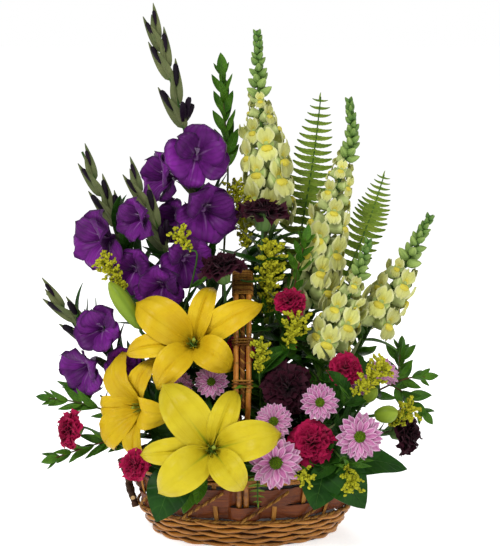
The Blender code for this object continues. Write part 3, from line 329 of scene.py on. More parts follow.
def rod(path: Sequence, radii: Union[float, Sequence[float]], sides: int = 6, closed: bool = False,
        flat: float = 1.0, first: Optional[Sequence] = None) -> Form:
    """Model a round or flattened rod along a path: a sheet rolled up along it, with its seam merged.

    Args:
        path: points of its middle line.
        radii: its radius, or one for each point.
        sides: corners round it.
        closed: whether its end meets its start.
        flat: its thickness as a share of its width.
        first: the way its width lies at the start.

    Returns:
        The rod. Its chart runs round it from 0 to 1, and along it in metres.
    """
    line = np.array([tuple(point) for point in path], float)
    if closed:
        line = np.concatenate([line, line[:1]])
    count = len(line)
    radii = np.array(radii, float)
    radii = np.full(count, float(radii)) if radii.ndim == 0 else np.resize(radii, count)
    along = np.gradient(line, axis=0)
    if closed:
        along[0] = along[-1] = line[1] - line[-2]
    along /= np.linalg.norm(along, axis=1)[:, None] + 1e-12
    if first is None:
        first = UP if abs(along[0][2]) < 0.9 else (1.0, 0, 0)
    start = np.array(first, float)
    side = np.empty_like(line)
    for i in range(count):
        start = start - along[i] * (start @ along[i])
        start = start / np.linalg.norm(start)
        side[i] = start
    if closed:
        side[-1] = side[0]
    other = np.cross(along, side)
    thing = Bench.sheet(sides, count - 1)

    def rolled(x: Array, y: Array, z: Array) -> tuple:
        """Return where the sheet's corners go when it is rolled up along the path."""
        turn = np.pi * (x + 1)
        row = np.rint((y + 1) * 0.5 * (count - 1)).astype(int)
        ring = side[row] * np.cos(turn)[:, None] + flat * other[row] * np.sin(turn)[:, None]
        return tuple((line[row] + radii[row][:, None] * ring).T)

    Bench.shaped(thing, rolled)
    Bench.merged(thing, 2e-6, not closed)
    form = Bench.taken(thing)
    form.chart[:, 1] = np.interp(form.chart[:, 1], np.linspace(0, 1, count), lengths(line))
    return form


def facing(place: Sequence, direction: Sequence, roll: float = 0.0) -> Matrix:
    """Return the matrix that puts a shape's own +Z along a direction and its +Y as near up as it can.

    Args:
        place: where the shape's origin goes.
        direction: where its +Z points.
        roll: angle by which it is then turned about its own +Z.
    """
    turn = Vector(direction).to_track_quat("Z", "Y").to_matrix().to_4x4()
    return Matrix.Translation(Vector(place)) @ turn @ Matrix.Rotation(roll, 4, "Z")


def lying(root: Sequence, tip: Sequence, face: Sequence, wide: float = 1.0, deep: float = 1.0) -> Matrix:
    """Return the matrix that lays a blade of length 1 from a root to a tip.

    Args:
        root: where the blade starts.
        tip: where it ends.
        face: the way its upper side looks.
        wide: how much it is widened, against its length.
        deep: how much its bends are deepened, against its length.

    Returns:
        The matrix.
    """
    root, tip = Vector(root), Vector(tip)
    along = tip - root
    length = along.length
    across = along.cross(Vector(face)).normalized()
    up = across.cross(along).normalized()
    matrix = Matrix((across * length * wide, along, up * length * deep)).transposed().to_4x4()
    matrix.translation = root
    return matrix


# --- Materials ---


def tint(red: int, green: int, blue: int) -> Colour:
    """Return a pigment as a linear colour, from how it looks under the studio's light in display values."""
    seen = (((c / 255 + 0.055) / 1.055) ** 2.4 if c > 10 else c / 255 / 12.92 for c in (red, green, blue))
    return tuple(PIGMENT * part for part in seen)


class Wire:
    """A node's output that can be used in a sum, a product or a power."""

    def __init__(self, tree: "Tree", socket: bpy.types.NodeSocket) -> None:
        """Wrap one socket of a tree."""
        self.tree = tree
        self.socket = socket

    def _math(self, operation: str, *values: Union["Wire", float]) -> "Wire":
        """Return the result of a Math node on the values."""
        return self.tree.add("ShaderNodeMath", {"operation": operation}, dict(enumerate(values)))

    def __add__(self, other: Union["Wire", float]) -> "Wire":
        """Add."""
        return self._math("ADD", self, other)

    def __mul__(self, other: Union["Wire", float]) -> "Wire":
        """Multiply."""
        return self._math("MULTIPLY", self, other)

    def __sub__(self, other: Union["Wire", float]) -> "Wire":
        """Subtract."""
        return self._math("SUBTRACT", self, other)

    def __rsub__(self, other: float) -> "Wire":
        """Subtract from a number."""
        return self._math("SUBTRACT", other, self)

    def __pow__(self, power: float) -> "Wire":
        """Raise to a power."""
        return self._math("POWER", self, power)

    def __abs__(self) -> "Wire":
        """Drop the sign."""
        return self._math("ABSOLUTE", self)

    __radd__ = __add__
    __rmul__ = __mul__

    def sine(self) -> "Wire":
        """Return its sine."""
        return self._math("SINE", self)

    def limited(self) -> "Wire":
        """Return it kept between 0 and 1."""
        return self.tree.add("ShaderNodeClamp", {}, {0: self})


class Tree:
    """One material's nodes, with the few ways to add to them that the finishes share."""

    def __init__(self, name: str) -> None:
        """Start a material with only its shader and output.

        Args:
            name: the material's name.
        """
        self.material = bpy.data.materials.new(name)
        self.material.use_nodes = True
        self.nodes = self.material.node_tree.nodes
        self.links = self.material.node_tree.links
        self.shader = self.nodes["Principled BSDF"]

    def add(self, kind: str, settings: Optional[dict] = None, sockets: Optional[dict] = None,
            out: Union[int, str] = 0) -> Wire:
        """Add a node.

        Args:
            kind: the node's type.
            settings: its properties, set first.
            sockets: values or wires for its inputs, by number or name.
            out: which output to return.

        Returns:
            The chosen output.
        """
        node = self.nodes.new(kind)
        for name, value in (settings or {}).items():
            setattr(node, name, value)
        for name, value in (sockets or {}).items():
            self.feed(node.inputs[name], value)
        return Wire(self, node.outputs[out])

    def feed(self, socket: bpy.types.NodeSocket, value: object) -> None:
        """Give an input a wire or a plain value.

        Args:
            socket: the input.
            value: the wire or the value.
        """
        if isinstance(value, Wire):
            self.links.new(value.socket, socket)
        elif isinstance(value, tuple) and len(value) == 3 and socket.type == "RGBA":
            socket.default_value = (*value, 1.0)
        else:
            socket.default_value = value

    def chart(self) -> tuple[Wire, Wire, Wire]:
        """Return the chart's two coordinates and the chart itself.

        Returns:
            The wire across, the wire along, and the wire of the whole chart.
        """
        chart = self.add("ShaderNodeUVMap", {"uv_map": "Chart"})
        across = self.add("ShaderNodeSeparateXYZ", {}, {0: chart}, "X")
        return across, Wire(self, across.socket.node.outputs["Y"]), chart

    def tone(self) -> Wire:
        """Return the number from 0 to 1 that each copied shape carries."""
        return self.add("ShaderNodeAttribute", {"attribute_name": "tone"}, out="Fac")

    def place(self) -> Wire:
        """Return the place on the object, in metres."""
        return self.add("ShaderNodeTexCoord", out="Object")

    def noise(self, where: Wire, scale: Union[float, Triple], detail: float = 3.0,
              rough: float = 0.6) -> Wire:
        """Return noise from about 0 to 1, finer along an axis with a larger scale.

        Args:
            where: the place where it is read.
            scale: how fine it is.
            detail: how many finer layers it has.
            rough: how strong they are.

        Returns:
            The wire of the noise.
        """
        if isinstance(scale, tuple):
            where = self.add("ShaderNodeMapping", {}, {"Vector": where, "Scale": scale})
            scale = 1.0
        sockets = {"Vector": where, "Scale": scale, "Detail": detail, "Roughness": rough}
        return self.add("ShaderNodeTexNoise", {}, sockets)

    def mix(self, share: Union[Wire, float], one: object, two: object, blend: str = "MIX") -> Wire:
        """Return a colour between two, or the one blended with the other in another way."""
        settings = {"data_type": "RGBA", "blend_type": blend}
        return self.add("ShaderNodeMix", settings, {0: share, 6: one, 7: two}, 2)

    def between(self, value: Wire, low: float, high: float, bottom: float = 0.0, top: float = 1.0) -> Wire:
        """Return a value that moves smoothly from bottom to top as the given one goes from low to high."""
        return self.add("ShaderNodeMapRange", {"interpolation_type": "SMOOTHSTEP"},
                        {0: value, 1: low, 2: high, 3: bottom, 4: top})

    def dressed(self, colour: Wire, rough: Union[Wire, float], height: Optional[Wire] = None,
                depth: float = 0.0, **constants: object) -> bpy.types.Material:
        """Feed the shader and return the finished material.

        Args:
            colour: its base colour.
            rough: its roughness.
            height: the relief from 0 to 1.
            depth: how many metres high the relief is.
            constants: other shader inputs, spaces as underscores.

        Returns:
            The material.
        """
        self.feed(self.shader.inputs["Base Color"], colour)
        self.feed(self.shader.inputs["Roughness"], rough)
        if height is not None:
            bump = self.add("ShaderNodeBump", {}, {"Height": height, "Distance": depth, "Strength": 1.0})
            self.feed(self.shader.inputs["Normal"], bump)
        for name, value in constants.items():
            self.feed(self.shader.inputs[name.replace("_", " ")], value)
        return self.material


@dataclass(frozen=True)
class Finish:
    """A finish: its material is made once, when a piece first asks for it."""

    name: str
    base: Colour
    other: Colour
    rough: float = 0.55

    def material(self) -> bpy.types.Material:
        """Return the finish's material."""
        return bpy.data.materials.get(self.name) or self.made(Tree(self.name))

    def made(self, tree: Tree) -> bpy.types.Material:
        """Make a plain mottled material.

        Args:
            tree: the material's nodes.

        Returns:
            The material.
        """
        place = tree.place()
        mottle = tree.noise(place, 90.0)
        colour = tree.mix(tree.between(mottle, 0.3, 0.7), self.base, self.other)
        rough = tree.between(mottle, 0.2, 0.8, self.rough - 0.1, self.rough + 0.1)
        return tree.dressed(colour, rough, tree.noise(place, 900.0, 2.0), 0.0005)


@dataclass(frozen=True)
class Petal(Finish):
    """A petal: veins run from its root to its tip, with a throat at its root and a rim round it."""

    throat: Colour = (0.1, 0.3, 0.02)
    reach: float = 0.3
    centred: float = 0.0
    rim: Colour = (1, 1, 1)
    rim_share: float = 0.0
    veins: float = 9.0
    vein_share: float = 0.25
    shade: float = 0.25
    sheen: float = 0.25

    def made(self, tree: Tree) -> bpy.types.Material:
        """Make the petal's material.

        Args:
            tree: the material's nodes.

        Returns:
            The material.
        """
        across, along, chart = tree.chart()
        tone = tree.tone()
        place = tree.place()
        off = abs(across - 0.5) * 2
        wobble = tree.noise(chart, (5.0, 1.6, 1.0), 2.0)
        veins = ((across * (2 * math.pi * self.veins) + wobble * 5).sine() * 0.5 + 0.5) ** 2.0
        streak = tree.noise(chart, (22.0, 1.4, 1.0), 3.0)
        patches = tree.between(tree.noise(place, 38.0, 2.0), 0.32, 0.72, 0.0, 0.6)
        colour = tree.mix(patches, self.base, self.other)
        lines = (veins * self.vein_share + (streak - 0.5) * self.vein_share).limited()
        colour = tree.mix(lines, colour, self.other)
        rim = tree.between(off + (along ** 6.0) * 0.9, 0.72, 1.05, 0.0, self.rim_share)
        colour = tree.mix(rim, colour, self.rim)
        throat = tree.between(along + off * self.centred + (streak - 0.5) * 0.25, 0.02, self.reach, 1.0, 0.0)
        colour = tree.mix(throat, colour, self.throat)
        light = tree.mix(tone, (1.0 - self.shade,) * 3, (1.0, 1.0, 1.0))
        colour = tree.mix(1.0, colour, light, "MULTIPLY")
        rough = tree.between(streak, 0.2, 0.8, self.rough - 0.08, self.rough + 0.1)
        return tree.dressed(colour, rough, veins * 0.5 + streak * 0.5, 0.0007,
                            Sheen_Weight=self.sheen, Specular_IOR_Level=0.11)


@dataclass(frozen=True)
class Blade(Finish):
    """A leaf's blade: a pale midrib with side veins, glossy above."""

    rib: Colour = (0.2, 0.35, 0.08)
    side_veins: float = 7.0
    rib_width: float = 0.06
    gloss: float = 0.3

    def made(self, tree: Tree) -> bpy.types.Material:
        """Make the blade's material.

        Args:
            tree: the material's nodes.

        Returns:
            The material.
        """
        across, along = tree.chart()[:2]
        off = abs(across - 0.5) * 2
        mottle = tree.noise(tree.place(), 60.0)
        share = (tree.between(mottle, 0.3, 0.7) * 0.5 + tree.tone() * 0.5).limited()
        colour = tree.mix(share, self.base, self.other)
        slant = along * (2 * math.pi * self.side_veins) - off * (1.1 * self.side_veins)
        ribs = (slant.sine() * 0.5 + 0.5) ** 9.0
        middle = tree.between(off, 0.2 * self.rib_width, self.rib_width, 1.0, 0.0)
        colour = tree.mix((ribs * 0.12 + middle * 0.55).limited(), colour, self.rib)
        rough = tree.between(mottle, 0.25, 0.75, self.rough - 0.08, self.rough + 0.12)
        return tree.dressed(colour, rough, (ribs * -0.6 - middle) + mottle * 0.4, 0.0006,
                            Coat_Weight=self.gloss * 0.3, Coat_Roughness=0.28, Specular_IOR_Level=0.12)


@dataclass(frozen=True)
class Sap(Finish):
    """A stem, bud or cup: green that runs from one colour at its foot to another at its head."""

    low: float = 0.2
    high: float = 0.9
    stripes: float = 3.0

    def made(self, tree: Tree) -> bpy.types.Material:
        """Make the stem's or bud's material.

        Args:
            tree: the material's nodes.

        Returns:
            The material.
        """
        across, along, chart = tree.chart()
        streak = tree.noise(chart, (14.0, 3.0, 1.0))
        tone = tree.tone()
        stripe = (across * (2 * math.pi * self.stripes)).sine() * 0.5 + 0.5
        share = tree.between(along + (streak - 0.5) * 0.3 + (tone - 0.5) * 0.6, self.low, self.high)
        colour = tree.mix(share, self.base, self.other)
        dark = tuple(0.45 * part for part in self.base)
        colour = tree.mix((stripe ** 6.0) * 0.35, colour, dark)
        return tree.dressed(colour, tree.between(streak, 0.2, 0.8, self.rough - 0.1, self.rough + 0.1),
                            streak * 0.6 + stripe * 0.4, 0.0004, Specular_IOR_Level=0.14)


@dataclass(frozen=True)
class Strand(Finish):
    """Willow, chip wood, cane, straw or bark: grain that runs along the strand, with darker places, and
    painted shade along its upper and lower edges by the crease share.
    """

    dark: Colour = (0.02, 0.008, 0.003)
    grain: Triple = (9.0, 60.0, 1.0)
    blotch: float = 30.0
    dirt: float = 0.5
    worn: float = 0.4
    relief: float = 0.0008
    gloss: float = 0.0
    # Share of painted shade along the strand's upper and lower edges, as in the creases between strands.
    crease: float = 0.0

    def made(self, tree: Tree) -> bpy.types.Material:
        """Make the strand's material.

        Args:
            tree: the material's nodes.

        Returns:
            The material.
        """
        across, _, chart = tree.chart()
        grain = tree.noise(chart, self.grain, 5.0, 0.7)
        patches = tree.noise(tree.place(), self.blotch, 3.0)
        colour = tree.mix((tree.between(grain, 0.35, 0.68) * self.worn * 2).limited(), self.base, self.other)
        tone = tree.tone()
        cracks = tree.between(grain, 0.46, 0.3) * self.dirt * 0.6
        dirt = tree.between(patches, 0.45, 0.72) * self.dirt + cracks
        # Painted shade: darker along the strand's upper and lower edges, mixed in with the dirt.
        edge = self.crease * abs((across * (2 * math.pi) + 0.5 * math.pi).sine()) ** 3.0
        colour = tree.mix((dirt + (tone - 0.5) * 0.4 + edge).limited(), colour, self.dark)
        rough = tree.between(grain, 0.3, 0.7, self.rough - 0.12, self.rough + 0.12)
        return tree.dressed(colour, rough, grain, self.relief,
                            Coat_Weight=self.gloss, Coat_Roughness=0.2, Specular_IOR_Level=0.16)


class Weave:
    """The finishes of the basket."""

    # The willow's crease share paints shade along each strand's upper and lower edges.
    willow = Strand("willow_strand", tint(182, 108, 32), tint(240, 172, 76), 0.34, dark=tint(80, 38, 10),
                    dirt=0.45, blotch=34.0, gloss=0.3, crease=0.75)
    # Dark willow as painted shade: the strands in the gaps between the foot's rows, the hoop under the foot
    # and the rim's inner strands.
    shadow = Strand("willow_painted_shade", tint(54, 27, 12), tint(74, 40, 20), 0.6, dark=tint(24, 11, 6))
    chip = Strand("chip_wood_band", tint(108, 46, 12), tint(158, 84, 26), 0.40, dark=tint(40, 18, 8),
                  grain=(16.0, 26.0, 1.0), blotch=26.0, dirt=0.75, worn=0.3, relief=0.0010, gloss=0.2)
    stake = Strand("stake_wood", tint(178, 116, 46), tint(214, 156, 72), 0.5, dark=tint(96, 54, 24), dirt=0.5)
    straw = Strand("straw_cord", tint(150, 98, 36), tint(206, 154, 66), 0.6, dark=tint(70, 38, 16),
                   grain=(5.0, 260.0, 1.0), dirt=0.6, relief=0.0012)
    brown_cord = Strand("brown_cord", tint(104, 58, 18), tint(152, 94, 34), 0.6, dark=tint(46, 22, 10),
                        grain=(5.0, 260.0, 1.0), dirt=0.6, relief=0.0012)
    cane = Strand("golden_cane", tint(188, 112, 38), tint(228, 158, 66), 0.26, dark=tint(96, 48, 18),
                  grain=(7.0, 24.0, 1.0), blotch=60.0, dirt=0.8, relief=0.0005, gloss=0.4)
    bark = Strand("rough_bark", tint(62, 38, 26), tint(104, 74, 54), 0.75, dark=tint(26, 15, 10),
                  grain=(5.0, 160.0, 1.0), relief=0.0022)
    heart = Strand("cut_wood", tint(206, 168, 112), tint(226, 194, 146), 0.6, dark=tint(140, 92, 50),
                   dirt=0.3)


class Plant:
    """The finishes of the flowers and leaves."""

    lily = Petal("lily_petal", tint(234, 198, 34), tint(218, 172, 18), 0.38, throat=tint(196, 186, 34),
                 reach=0.26, centred=1.1, rim=tint(242, 206, 44), rim_share=0.2, veins=5.0, vein_share=0.05,
                 shade=0.16, sheen=0.0)
    lily_pale = Petal("lily_petal_fresh", tint(226, 206, 44), tint(208, 182, 26), 0.38,
                      throat=tint(116, 156, 34), reach=0.52, centred=1.8, rim=tint(240, 224, 70),
                      rim_share=0.2, veins=5.0, vein_share=0.05, shade=0.10, sheen=0.0)
    lily_bud = Sap("lily_bud_skin", tint(98, 138, 36), tint(158, 178, 54), 0.45, low=0.1, high=1.2,
                   stripes=3.0)
    pistil = Sap("lily_pistil", tint(150, 166, 60), tint(190, 190, 90), 0.4)
    filament = Sap("pale_filament", tint(214, 190, 220), tint(196, 160, 210), 0.5)
    # The pale streak from the throat along the midrib is partly the flower's own pale marking and partly a
    # painted highlight.
    gladiolus = Petal("gladiolus_petal", tint(132, 36, 152), tint(62, 6, 76), 0.42,
                      throat=tint(200, 142, 214), reach=0.62, centred=2.2, rim=tint(52, 5, 68), rim_share=0.6,
                      veins=6.0, vein_share=0.22, shade=0.5, sheen=0.06)
    night_bud = Sap("gladiolus_bud", tint(34, 10, 38), tint(16, 4, 20), 0.6, stripes=2.0)
    sheath = Blade("gladiolus_sheath", tint(78, 92, 54), tint(116, 122, 78), 0.55, rib=tint(140, 140, 96),
                   side_veins=1.0, rib_width=0.10, gloss=0.05)
    dragon = Petal("snapdragon_petal", tint(230, 230, 140), tint(214, 219, 110), 0.5,
                   throat=tint(236, 218, 50), reach=0.70, centred=0.40, rim=tint(234, 236, 176),
                   rim_share=0.7, veins=5.0, vein_share=0.2, shade=0.3, sheen=0.05)
    tube = Petal("snapdragon_tube", tint(206, 218, 140), tint(180, 202, 112), 0.5, throat=tint(150, 180, 84),
                 reach=0.5, rim=tint(226, 230, 160), rim_share=0.3, veins=6.0, shade=0.2, sheen=0.05)
    palate = Petal("snapdragon_palate", tint(232, 220, 84), tint(228, 208, 56), 0.6,
                   throat=tint(232, 226, 120), reach=0.05, shade=0.1, sheen=0.05)
    green_bud = Sap("snapdragon_bud", tint(78, 122, 50), tint(176, 200, 108), 0.5, low=0.4, high=1.3)
    burgundy = Petal("burgundy_petal", tint(52, 7, 26), tint(30, 4, 17), 0.55, throat=tint(18, 3, 10),
                     reach=0.62, rim=tint(84, 14, 44), rim_share=0.4, veins=5.0, vein_share=0.4, shade=0.6,
                     sheen=0.05)
    magenta = Petal("magenta_petal", tint(196, 6, 78), tint(156, 3, 56), 0.55, throat=tint(90, 2, 32),
                    reach=0.62, rim=tint(214, 28, 96), rim_share=0.4, veins=5.0, vein_share=0.3, shade=0.55,
                    sheen=0.05)
    daisy = Petal("daisy_ray", tint(236, 162, 208), tint(196, 98, 162), 0.5, throat=tint(132, 40, 100),
                  reach=0.72, centred=0.5, rim=tint(255, 218, 242), rim_share=0.7, veins=2.0, vein_share=0.5,
                  shade=0.22, sheen=0.05)
    eye = Petal("daisy_eye", tint(122, 156, 26), tint(88, 122, 16), 0.7, throat=tint(84, 110, 20), reach=0.05,
                shade=0.5, sheen=0.0)
    gold = Petal("solidago_bud", tint(222, 218, 52), tint(186, 192, 38), 0.6, throat=tint(150, 164, 36),
                 reach=0.05, shade=0.25, sheen=0.0)
    cup = Sap("green_cup", tint(74, 112, 54), tint(112, 146, 76), 0.5, stripes=5.0)
    stem = Sap("green_stem", tint(58, 92, 34), tint(86, 120, 46), 0.5, low=0.0, high=0.3, stripes=2.0)
    woody = Sap("woody_stem", tint(96, 66, 40), tint(74, 84, 36), 0.6, low=0.0, high=0.3, stripes=2.0)
    fern = Blade("fern_blade", tint(86, 122, 26), tint(142, 164, 56), 0.5, rib=tint(160, 180, 96),
                 side_veins=1.0, gloss=0.12)
    myrtle = Blade("myrtle_leaf", tint(38, 88, 12), tint(92, 140, 32), 0.45, rib=tint(120, 158, 84),
                   side_veins=6.0, gloss=0.12)
    salal = Blade("salal_leaf", tint(14, 56, 6), tint(38, 88, 14), 0.45, rib=tint(70, 118, 40),
                  side_veins=6.0, rib_width=0.035, gloss=0.15)
    dusk = Blade("under_leaf", tint(18, 56, 8), tint(52, 100, 20), 0.5, rib=tint(72, 112, 40), side_veins=6.0,
                 gloss=0.08)


# --- Pieces ---


class Piece:
    """Collects copies of shapes and makes them one object that stands for a node of the frame."""

    def __init__(self, node: str, slot: str) -> None:
        """Start the piece that stands for a node.

        Args:
            node: the node's name.
            slot: the slot's name; not used.
        """
        self.node, self.slot = node, slot
        self.chance = np.random.default_rng(sum(ord(letter) * (i + 1) for i, letter in enumerate(node)))
        self.copies: list[tuple[Form, Array, int, float]] = []
        self.finishes: list[Finish] = []

    def stray(self, spread: float) -> Vector:
        """Return a random offset, up to a spread along each axis."""
        return Vector(tuple(self.chance.uniform(-spread, spread, 3)))

    def add(self, form: Form, finish: Finish, matrix: Optional[Matrix] = None,
            tone: Optional[float] = None) -> None:
        """Add a copy of a shape.

        Args:
            form: the shape.
            finish: its finish.
            matrix: where it goes; it is left where it was modelled without one.
            tone: its number from 0 to 1 that the finish reads; a random one without it.
        """
        if finish not in self.finishes:
            self.finishes.append(finish)
        points = form.placed(matrix) if matrix is not None else form.points
        tone = float(self.chance.random()) if tone is None else tone
        self.copies.append((form, points, self.finishes.index(finish), tone))

    def made(self, angle: float = 50.0) -> bpy.types.Object:
        """Join the copies into one object, shade it, hang it on the root body and hide the node of the frame
        that it stands for.

        Args:
            angle: edges sharper than this, in degrees, stay sharp.

        Returns:
            The object.
        """
        forms = [copy[0] for copy in self.copies]
        counts = [len(copy[1]) for copy in self.copies]
        starts = np.concatenate([[0], np.cumsum(counts)[:-1]])
        points = np.concatenate([copy[1] for copy in self.copies])
        corners = np.concatenate([form.corners + start for form, start in zip(forms, starts)])
        sizes = np.concatenate([form.sizes for form in forms])
        mesh = bpy.data.meshes.new(self.node + "_look")
        mesh.vertices.add(len(points))
        mesh.vertices.foreach_set("co", points.ravel())
        mesh.loops.add(len(corners))
        mesh.loops.foreach_set("vertex_index", corners)
        mesh.polygons.add(len(sizes))
        mesh.polygons.foreach_set("loop_start", np.concatenate([[0], np.cumsum(sizes)[:-1]]))
        mesh.polygons.foreach_set("material_index", np.concatenate(
            [np.full(len(form.sizes), copy[2]) for form, copy in zip(forms, self.copies)]))
        mesh.update(calc_edges=True)
        charts = np.concatenate([form.chart for form in forms])
        mesh.uv_layers.new(name="Chart").uv.foreach_set("vector", charts.ravel())
        tones = np.concatenate([np.full(count, copy[3]) for count, copy in zip(counts, self.copies)])
        mesh.attributes.new("tone", "FLOAT", "POINT").data.foreach_set("value", tones)
        for finish in self.finishes:
            mesh.materials.append(finish.material())
        thing = bpy.data.objects.new(self.node + "_look", mesh)
        bpy.context.collection.objects.link(thing)
        Bench.clear()
        thing.select_set(True)
        bpy.context.view_layer.objects.active = thing
        bpy.ops.object.shade_smooth_by_angle(angle=math.radians(angle))
        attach(thing, "root")
        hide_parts(self.node)
        log.info("%s: %d copied shapes, %d faces", thing.name, len(forms), len(sizes))
        return thing


# --- Basket ---


class Wall:
    """The line of the basket's wall, as the frame has it."""

    half_length, half_width, top, lean, curve = 0.112, 0.072, 0.104, 0.034, 2.2
    posts = 20

    @classmethod
    def flare(cls, height: float) -> float:
        """Return how far the wall leans out at a height."""
        return cls.lean * (1 - max(0.0, 1 - height / cls.top) ** cls.curve)

    @classmethod
    def point(cls, angle: float, offset: float, height: float) -> Vector:
        """Return a point on the wall's middle surface, moved outward by an offset.

        Args:
            angle: the way it lies from the middle.
            offset: how far out it is moved.
            height: its height.

        Returns:
            The point.
        """
        out = cls.flare(height) + offset
        x, y = (cls.half_length + out) * math.cos(angle), (cls.half_width + out) * math.sin(angle)
        return Vector((x, y, height))

    @classmethod
    def angles(cls, shares: Iterable[float]) -> list[float]:
        """Return the angles at shares of the way round the wall, from the middle of the front.

        Args:
            shares: the shares.

        Returns:
            The angles.
        """
        turns = np.linspace(-math.pi / 2, 1.5 * math.pi, 1441)
        out = cls.flare(0.06)
        runs = lengths(zip((cls.half_length + out) * np.cos(turns), (cls.half_width + out) * np.sin(turns)))
        return [float(np.interp((share % 1.0) * runs[-1], runs, turns)) for share in shares]

    @classmethod
    def path(cls, count: int, offset: Callable, height: Callable, first: float = 0.0,
             last: float = 1.0) -> list[Vector]:
        """Return points along the wall.

        Args:
            count: how many.
            offset: how far out at a share of the way round.
            height: how high at that share.
            first: share where the path starts.
            last: share where it ends; a whole turn later the end itself is left out.

        Returns:
            The points.
        """
        whole = abs(last - first) == 1.0
        shares = [first + (last - first) * i / (count if whole else count - 1) for i in range(count)]
        return [cls.point(angle, offset(share), height(share))
                for angle, share in zip(cls.angles(shares), shares)]


def twisted(path: Line, strands: int, coil: float, thick: float, pitch: float, closed: bool = False,
            sides: int = 5) -> list[Form]:
    """Model a rope of strands wound round a path.

    Args:
        path: the rope's middle line, in even short steps.
        strands: how many strands.
        coil: how far each strand runs from the middle line.
        thick: a strand's radius.
        pitch: length of one full turn.
        closed: whether the rope meets itself.
        sides: corners round a strand.

    Returns:
        A form for each strand.
    """
    line = np.array([tuple(point) for point in path])
    along = np.gradient(line, axis=0)
    if closed:
        along = np.roll(line, -1, axis=0) - np.roll(line, 1, axis=0)
    along /= np.linalg.norm(along, axis=1)[:, None]
    side = np.cross(along, np.array(UP))
    side /= np.linalg.norm(side, axis=1)[:, None]
    other = np.cross(side, along)
    runs = lengths(line)
    turns = runs / pitch
    if closed:
        whole = runs[-1] + np.linalg.norm(line[0] - line[-1])
        turns = runs * (max(1, round(whole / pitch)) / whole)
    forms = []
    for strand in range(strands):
        angle = 2 * np.pi * (turns + strand / strands)
        spread = coil * (side * np.cos(angle)[:, None] + other * np.sin(angle)[:, None])
        forms.append(rod(line + spread, thick, sides, closed))
    return forms


@dataclass
class Foot:
    """The fine willow rows at the foot: in each row two weavers pass in front of each other in turn."""

    rows: int = 5
    height: float = 0.0385
    waves: int = 9
    steps: int = 168
    thick: float = 0.0031
    thin: float = 0.0005
    middle: float = 0.0046
    swing: float = 0.0024
    slant: float = 0.0011
    uneven: float = 0.0005
    # Radius and outward place of the dark strands between the rows, which are painted shade.
    strand: float = 0.0021
    strand_out: float = 0.0036

    def build(self) -> None:
        """Model the weavers, and the dark strands between the rows that are painted shade in the gaps."""
        piece = Piece("foot_weave", "willow")
        step = self.height / self.rows
        for row in range(self.rows):
            level, slant = (row + 0.5) * step, self.slant * (1 if row % 2 else -1)
            for hand in (0.0, 0.5):
                start = hand + 0.25 * (row % 2)

                def turn(share: float, start: float = start) -> float:
                    """Return how far a weaver has swung at a share of the way round."""
                    return 2 * math.pi * (self.waves * share + start)

                def lift(share: float, slant: float = slant, level: float = level) -> float:
                    """Return a weaver's height at a share of the way round."""
                    drift = self.uneven * math.sin(37 * share + level * 900)
                    return level + slant * math.sin(turn(share)) + drift

                line = Wall.path(self.steps, lambda s: self.middle + self.swing * math.cos(turn(s)), lift)
                waves = [max(0.0, 0.5 + 0.52 * math.cos(turn(i / self.steps))) for i in range(self.steps)]
                radii = [self.thin + (self.thick - self.thin) * wave ** 1.25 for wave in waves]
                piece.add(rod(line, [*radii, radii[0]], 8, True, flat=0.85, first=UP), Weave.willow,
                          tone=0.2 + 0.5 * ((row * 7 + hand * 6) % 5) / 5)
        # Dark strands behind the gaps between the rows: painted shade.
        for row in range(self.rows + 1):
            level = min(max(row * step, self.strand + 0.0001), self.height - 0.001)
            line = Wall.path(100, lambda s: self.strand_out, lambda s, z=level: z)
            piece.add(rod(line, self.strand, 6, True, flat=0.5, first=UP), Weave.shadow)
        piece.made(60)


@dataclass
class Stakes:
    """The upright stakes between the splints."""

    width: float = 0.0029
    flat: float = 0.42
    low: float = 0.0015
    high: float = 0.0905

    def build(self) -> None:
        """Model every stake and the hoop they stand on."""
        piece = Piece("stake_frame", "willow")
        # The hoop under the foot takes the dark willow: painted shade.
        hoop = Wall.path(120, lambda s: 0.0, lambda s: 0.0022)
        piece.add(rod(hoop, 0.0020, 6, True), Weave.shadow)
        for number in range(Wall.posts):
            if number % (Wall.posts // 2) == 0:
                continue
            angle = Wall.angles([number / Wall.posts])[0]
            levels = [self.low + (self.high - self.low) * i / 12 for i in range(13)]
            line = [Wall.point(angle, 0.0, level) for level in levels]
            along = Vector((-math.sin(angle), math.cos(angle) * 0.8, 0))
            piece.add(rod(line, self.width, 8, flat=self.flat, first=along), Weave.stake)
        piece.made()


